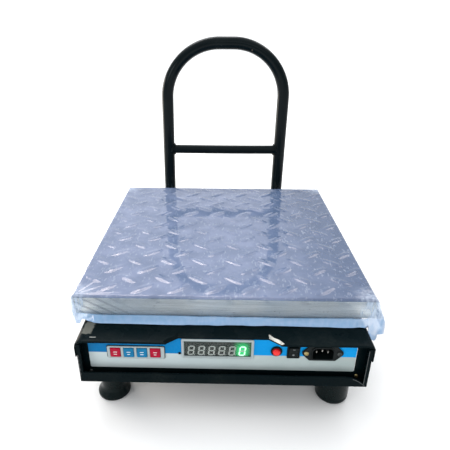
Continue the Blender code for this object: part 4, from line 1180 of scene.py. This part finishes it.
# ---- inside -------------------------------------------------------------------------
def insides(zinc, rubber, aluminium, board, black, copper, nickel, pale):
    """The frame, load cell, battery, boards and transformer, which show when the platform lifts."""
    for node in ("weigh_frame", "load_cell_spacer", "load_cell_shim", "load_cell_support", "rail_left",
                 "rail_right", "cross_member_front", "cross_member_rear"):
        dressed(node, zinc, 0.0008)
    for node in ("load_cell_bolt_1", "load_cell_bolt_2"):
        dressed(node, nickel)
    for corner in ("front_left", "front_right", "rear_left", "rear_right"):
        dressed(f"platform_pad_{corner}", rubber, 0.0008, 3)
    dressed("load_cell", aluminium, 0.0006)
    dressed("main_board", board)
    dressed("display_board", board)
    dressed("battery", black, 0.0)
    dressed("transformer", zinc, 0.0006)
    low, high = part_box("battery")
    tops = bmesh.new()
    for x in (low.x + 0.012, low.x + 0.030):
        box((x, high.y - 0.016, high.z + 0.0001), (x + 0.0063, high.y - 0.0152, high.z + 0.006), tops)
    piece("battery_terminals", tops, nickel, "base", "nickel_pin", edge=0.0001)
    low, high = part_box("main_board")
    deck = high.z
    parts = bmesh.new()
    for x, y, w, d, h in ((0.010, 0.012, 0.020, 0.010, 0.003), (0.040, 0.010, 0.009, 0.009, 0.0025),
                          (0.012, 0.048, 0.014, 0.010, 0.009), (0.052, 0.050, 0.022, 0.008, 0.008)):
        box((low.x + x, low.y + y, deck), (low.x + x + w, low.y + y + d, deck + h), parts)
    piece("board_chips", parts, black, "base", "black_plastic", edge=0.0003)
    cans = bmesh.new()
    for x, y, radius, tall in ((0.052, 0.030, 0.005, 0.012), (0.066, 0.032, 0.004, 0.009),
                               (0.034, 0.034, 0.003, 0.008)):
        lid = deck + tall
        profile = [(0.0003, deck), (radius, deck), (radius, lid - 0.0006), (radius - 0.0006, lid),
                   (0.0003, lid)]
        turned(profile, (low.x + x, low.y + y, 0), (0, 0, 1), 24, bm=cans)
    piece("board_capacitors", cans, copper, "base", "zinc_steel")
    low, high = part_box("transformer")
    middle = (low + high) / 2
    winding = bmesh.new()
    size = Vector((0.0125, 0.0215, 0.0095))
    for i in range(9):
        z = middle.z - size.z + (i + 0.5) * size.z * 2 / 9
        turn = rounded(size.x * 2.2, size.y * 2 + 0.002, 0.005, 4)
        outline = [(middle.x + p.x, middle.y + p.y) for p in turn]
        prism(outline, "z", z - 0.00095, z + 0.00095, winding)
    piece("transformer_winding", winding, copper, "base", "zinc_steel", edge=0.0004)
    cell_low, cell_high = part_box("load_cell")
    seal = bmesh.new()
    for side in (-1, 1):
        x = cell_low.x if side < 0 else cell_high.x
        outline = [(p.x, (cell_low.z + cell_high.z) / 2 + p.y) for p in rounded(0.070, 0.026, 0.006)]
        prism(outline, "x", x, x + side * 0.0008, seal)
    piece("load_cell_seal", seal, pale, "base", "grey_plastic")


# ---- stage --------------------------------------------------------------------------
FLOOR = 40.0


def area_light(name, place, target, size, power, colour=(1.0, 1.0, 1.0)):
    light = bpy.data.lights.new(name, "AREA")
    light.shape = "RECTANGLE"
    light.size, light.size_y = size
    light.energy = power
    light.color = colour
    made = linked(name, light)
    made.location = place
    made.rotation_euler = (Vector(target) - Vector(place)).to_track_quat("-Z", "Y").to_euler()
    return made


def stage():
    """Pale floor, soft studio lights and the camera."""
    floor = bmesh.new()
    bmesh.ops.create_grid(floor, x_segments=1, y_segments=1, size=FLOOR)
    mesh = bpy.data.meshes.new("studio_floor")
    floor.to_mesh(mesh)
    floor.free()
    ground = linked("studio_floor", mesh)
    ground.location.z = -0.0002
    pale = Look("studio_floor", (0.98, 0.98, 0.98), 0.9, Specular_IOR_Level=0.1)
    mesh.materials.append(pale.made)

    world = bpy.data.worlds.new("studio")
    world.use_nodes = True
    sky = Graph(world.node_tree, "Generated")
    strength = sky.ranged(sky.axis("Y"), -0.5, 0.4, 0.62, 1.25, "LINEAR")
    above = sky.ranged(sky.axis("Z"), 0.30, 0.95, 0.0, 0.60)
    shaded = sky.ranged(sky.axis("X"), 0.50, 0.80, 1.0, 0.70)
    background = world.node_tree.nodes["Background"]
    sky.feed(background.inputs["Strength"], sky.times(sky.plus(strength, above), shaded))
    sky.feed(background.inputs["Color"], (0.97, 0.985, 1.0))
    bpy.context.scene.world = world

    aim = (0, 0, 0.13)
    area_light("lug_light_left", (-0.85, 1.35, 2.20), aim, (1.00, 1.00), 16)
    area_light("lug_light_middle", (-0.12, 1.40, 2.25), aim, (0.80, 0.80), 8)
    area_light("lug_light_right", (1.05, 1.40, 1.75), aim, (0.60, 0.60), 3)
    area_light("side_light", (-1.00, 0.60, 0.22), (0, 0.22, 0.24), (0.7, 0.6), 9, (1.0, 0.90, 0.78))
    area_light("foot_light", (-1.50, -1.30, 0.80), aim, (0.5, 0.5), 6)
    area_light("front_light", (0.5, -2.2, 1.6), aim, (1.6, 0.8), 4)

    camera = bpy.data.cameras.new("camera")
    camera.lens, camera.sensor_width = 34.979, 36.0
    camera.shift_x, camera.shift_y = 0.03214, -0.00789
    made = linked("camera", camera)
    made.location = (-0.00577, -0.63917, 0.46368)
    heading = Matrix.Rotation(math.radians(1.374), 3, "Z")
    look_down = heading @ Matrix.Rotation(math.radians(90 - 25.189), 3, "X")
    roll = Quaternion((0, 0, 1), math.radians(0.105))
    made.rotation_mode = "QUATERNION"
    made.rotation_quaternion = look_down.to_quaternion() @ roll
    bpy.context.scene.camera = made
    bpy.context.scene.view_settings.view_transform = "Standard"


# ---- assembly -----------------------------------------------------------------------
def build():
    stage()
    teal_black = (0.0014, 0.0052, 0.0066)
    chip = ((0.0485, 0.2125, 0.4058), 0.0018, (0.50, 0.36, 0.28))
    splinter = ((0.0494, 0.2120, 0.4086), 0.0010, (0.42, 0.36, 0.32))
    # A pale patch at the hood's left end: a painted reflection of a warm light.
    reflection_patch = ((-0.1728, -0.2210, 0.10), (-0.1608, -0.1985, 0.12), 0.0012, (0.125, 0.130, 0.115))
    graze = ((-0.1609, -0.2275, 0.10), (-0.1534, -0.2265, 0.12), 0.0004, (0.45, 0.46, 0.44))
    paint = painted("black_paint_satin", teal_black, (0.018, 0.023, 0.021), 0.30, 0.0012, 0.03)
    hood_paint = painted("black_paint_hood", teal_black, (0.014, 0.019, 0.018), 0.28, 0.0012, 0.025,
                         patches=[reflection_patch, graze])
    gloss = painted("black_paint_gloss", (0.0018, 0.0052, 0.0066), (0.012, 0.018, 0.019), 0.16, 0.0022, 0.09,
                    [chip, splinter])
    # Pale edge paint: wear on the lip's corner and the left edge, and a painted highlight on the right
    # flange.
    wear_and_highlight = painted("paint_edge_wear_and_highlight", (0.060, 0.066, 0.068), (0.12, 0.12, 0.11), 0.35, 0.0008, 0.3)
    zinc = metal("zinc_plate", (0.56, 0.57, 0.56), 0.36, (1.0, 4.0, 1.0))
    # Pale steel for the right notch flap: a painted highlight.
    flap_highlight = metal("flap_highlight_steel", (0.64, 0.63, 0.58), 0.30, (1.0, 1.0, 5.0), stain=0.9)
    aluminium = metal("milled_aluminium", (0.80, 0.81, 0.82), 0.34, (0.4, 6.0, 0.4))
    brass = metal("yellow_zinc", (0.44, 0.35, 0.16), 0.34, size=0.0008)
    dark_screw = metal("blackened_screw", (0.10, 0.11, 0.11), 0.38, size=0.0008)
    nickel = metal("nickel_plate", (0.78, 0.76, 0.71), 0.22, size=0.0010, stain=0.85)
    copper = metal("lacquered_copper", (0.62, 0.26, 0.10), 0.35, (1.0, 1.0, 3.0))
    rubber = plastic("foot_rubber", (0.0020, 0.0075, 0.0080), 0.24, 0.0010, 0.7, 0.12)
    black = plastic("moulded_black", (0.0050, 0.0085, 0.0090), 0.34, gloss=0.12)
    grey = plastic("moulded_grey", (0.40, 0.46, 0.47), 0.38, mottle=0.93)
    pale = plastic("printed_white", (0.80, 0.82, 0.82), 0.45, mottle=0.95)
    faint = plastic("printed_grey", (0.22, 0.24, 0.25), 0.45, mottle=0.9)
    red = plastic("key_red", (0.42, 0.005, 0.032), 0.34, mottle=0.80, gloss=0.1)
    blue = plastic("key_blue", (0.008, 0.19, 0.39), 0.34, mottle=0.80, gloss=0.1)
    dark_nickel = metal("dull_nickel", (0.34, 0.33, 0.31), 0.30, size=0.0010, stain=0.7)
    button_red = plastic("button_red", (0.88, 0.012, 0.010), 0.22, mottle=0.9, Coat_Weight=0.5)
    board = plastic("board_green", (0.015, 0.16, 0.06), 0.40, 0.0012, 0.6)

    pan_low, pan_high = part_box("platform_pan")
    top = pan_high.z - LUG_HEIGHT
    chequer_plate(chequer_look(top))
    film_sheet(film_look(pan_low.z, top, pan_high.x))
    handle_loop(gloss)
    crossbar(gloss)
    saddles(paint)
    hood_shell(hood_paint)
    hood_flaps(paint, flap_highlight)
    tray(paint, wear_and_highlight)
    foot_bodies(rubber)
    foot_studs(zinc)
    dressed("panel_plate", paint)
    dressed("status_lamp", black)
    label(label_look(0.0882, 0.0002), pale)
    keypad(grey, black, red, blue, pale)
    led_low, led_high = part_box("led_display")
    lit_digit = (led_low + led_high) / 2 + Vector((2.5 * DIGIT_PITCH - 0.0010, 0, 0))
    # The unlit bars get a faint emission: painted glow.
    bars_off = segment_look("bars_off", (0.66, 0.72, 0.68), 0.03)
    bars_lit = segment_look("bars_lit", (0.5, 1.0, 0.65), 1.8)
    display(grey, glowing_block(lit_digit), smoked_pane(), bars_off, bars_lit)
    round_button(black, button_red)
    rocker(black, faint)
    inlet(black, dark_nickel)
    screws(brass, dark_screw)
    insides(zinc, rubber, aluminium, board, black, copper, nickel, pale)


build()
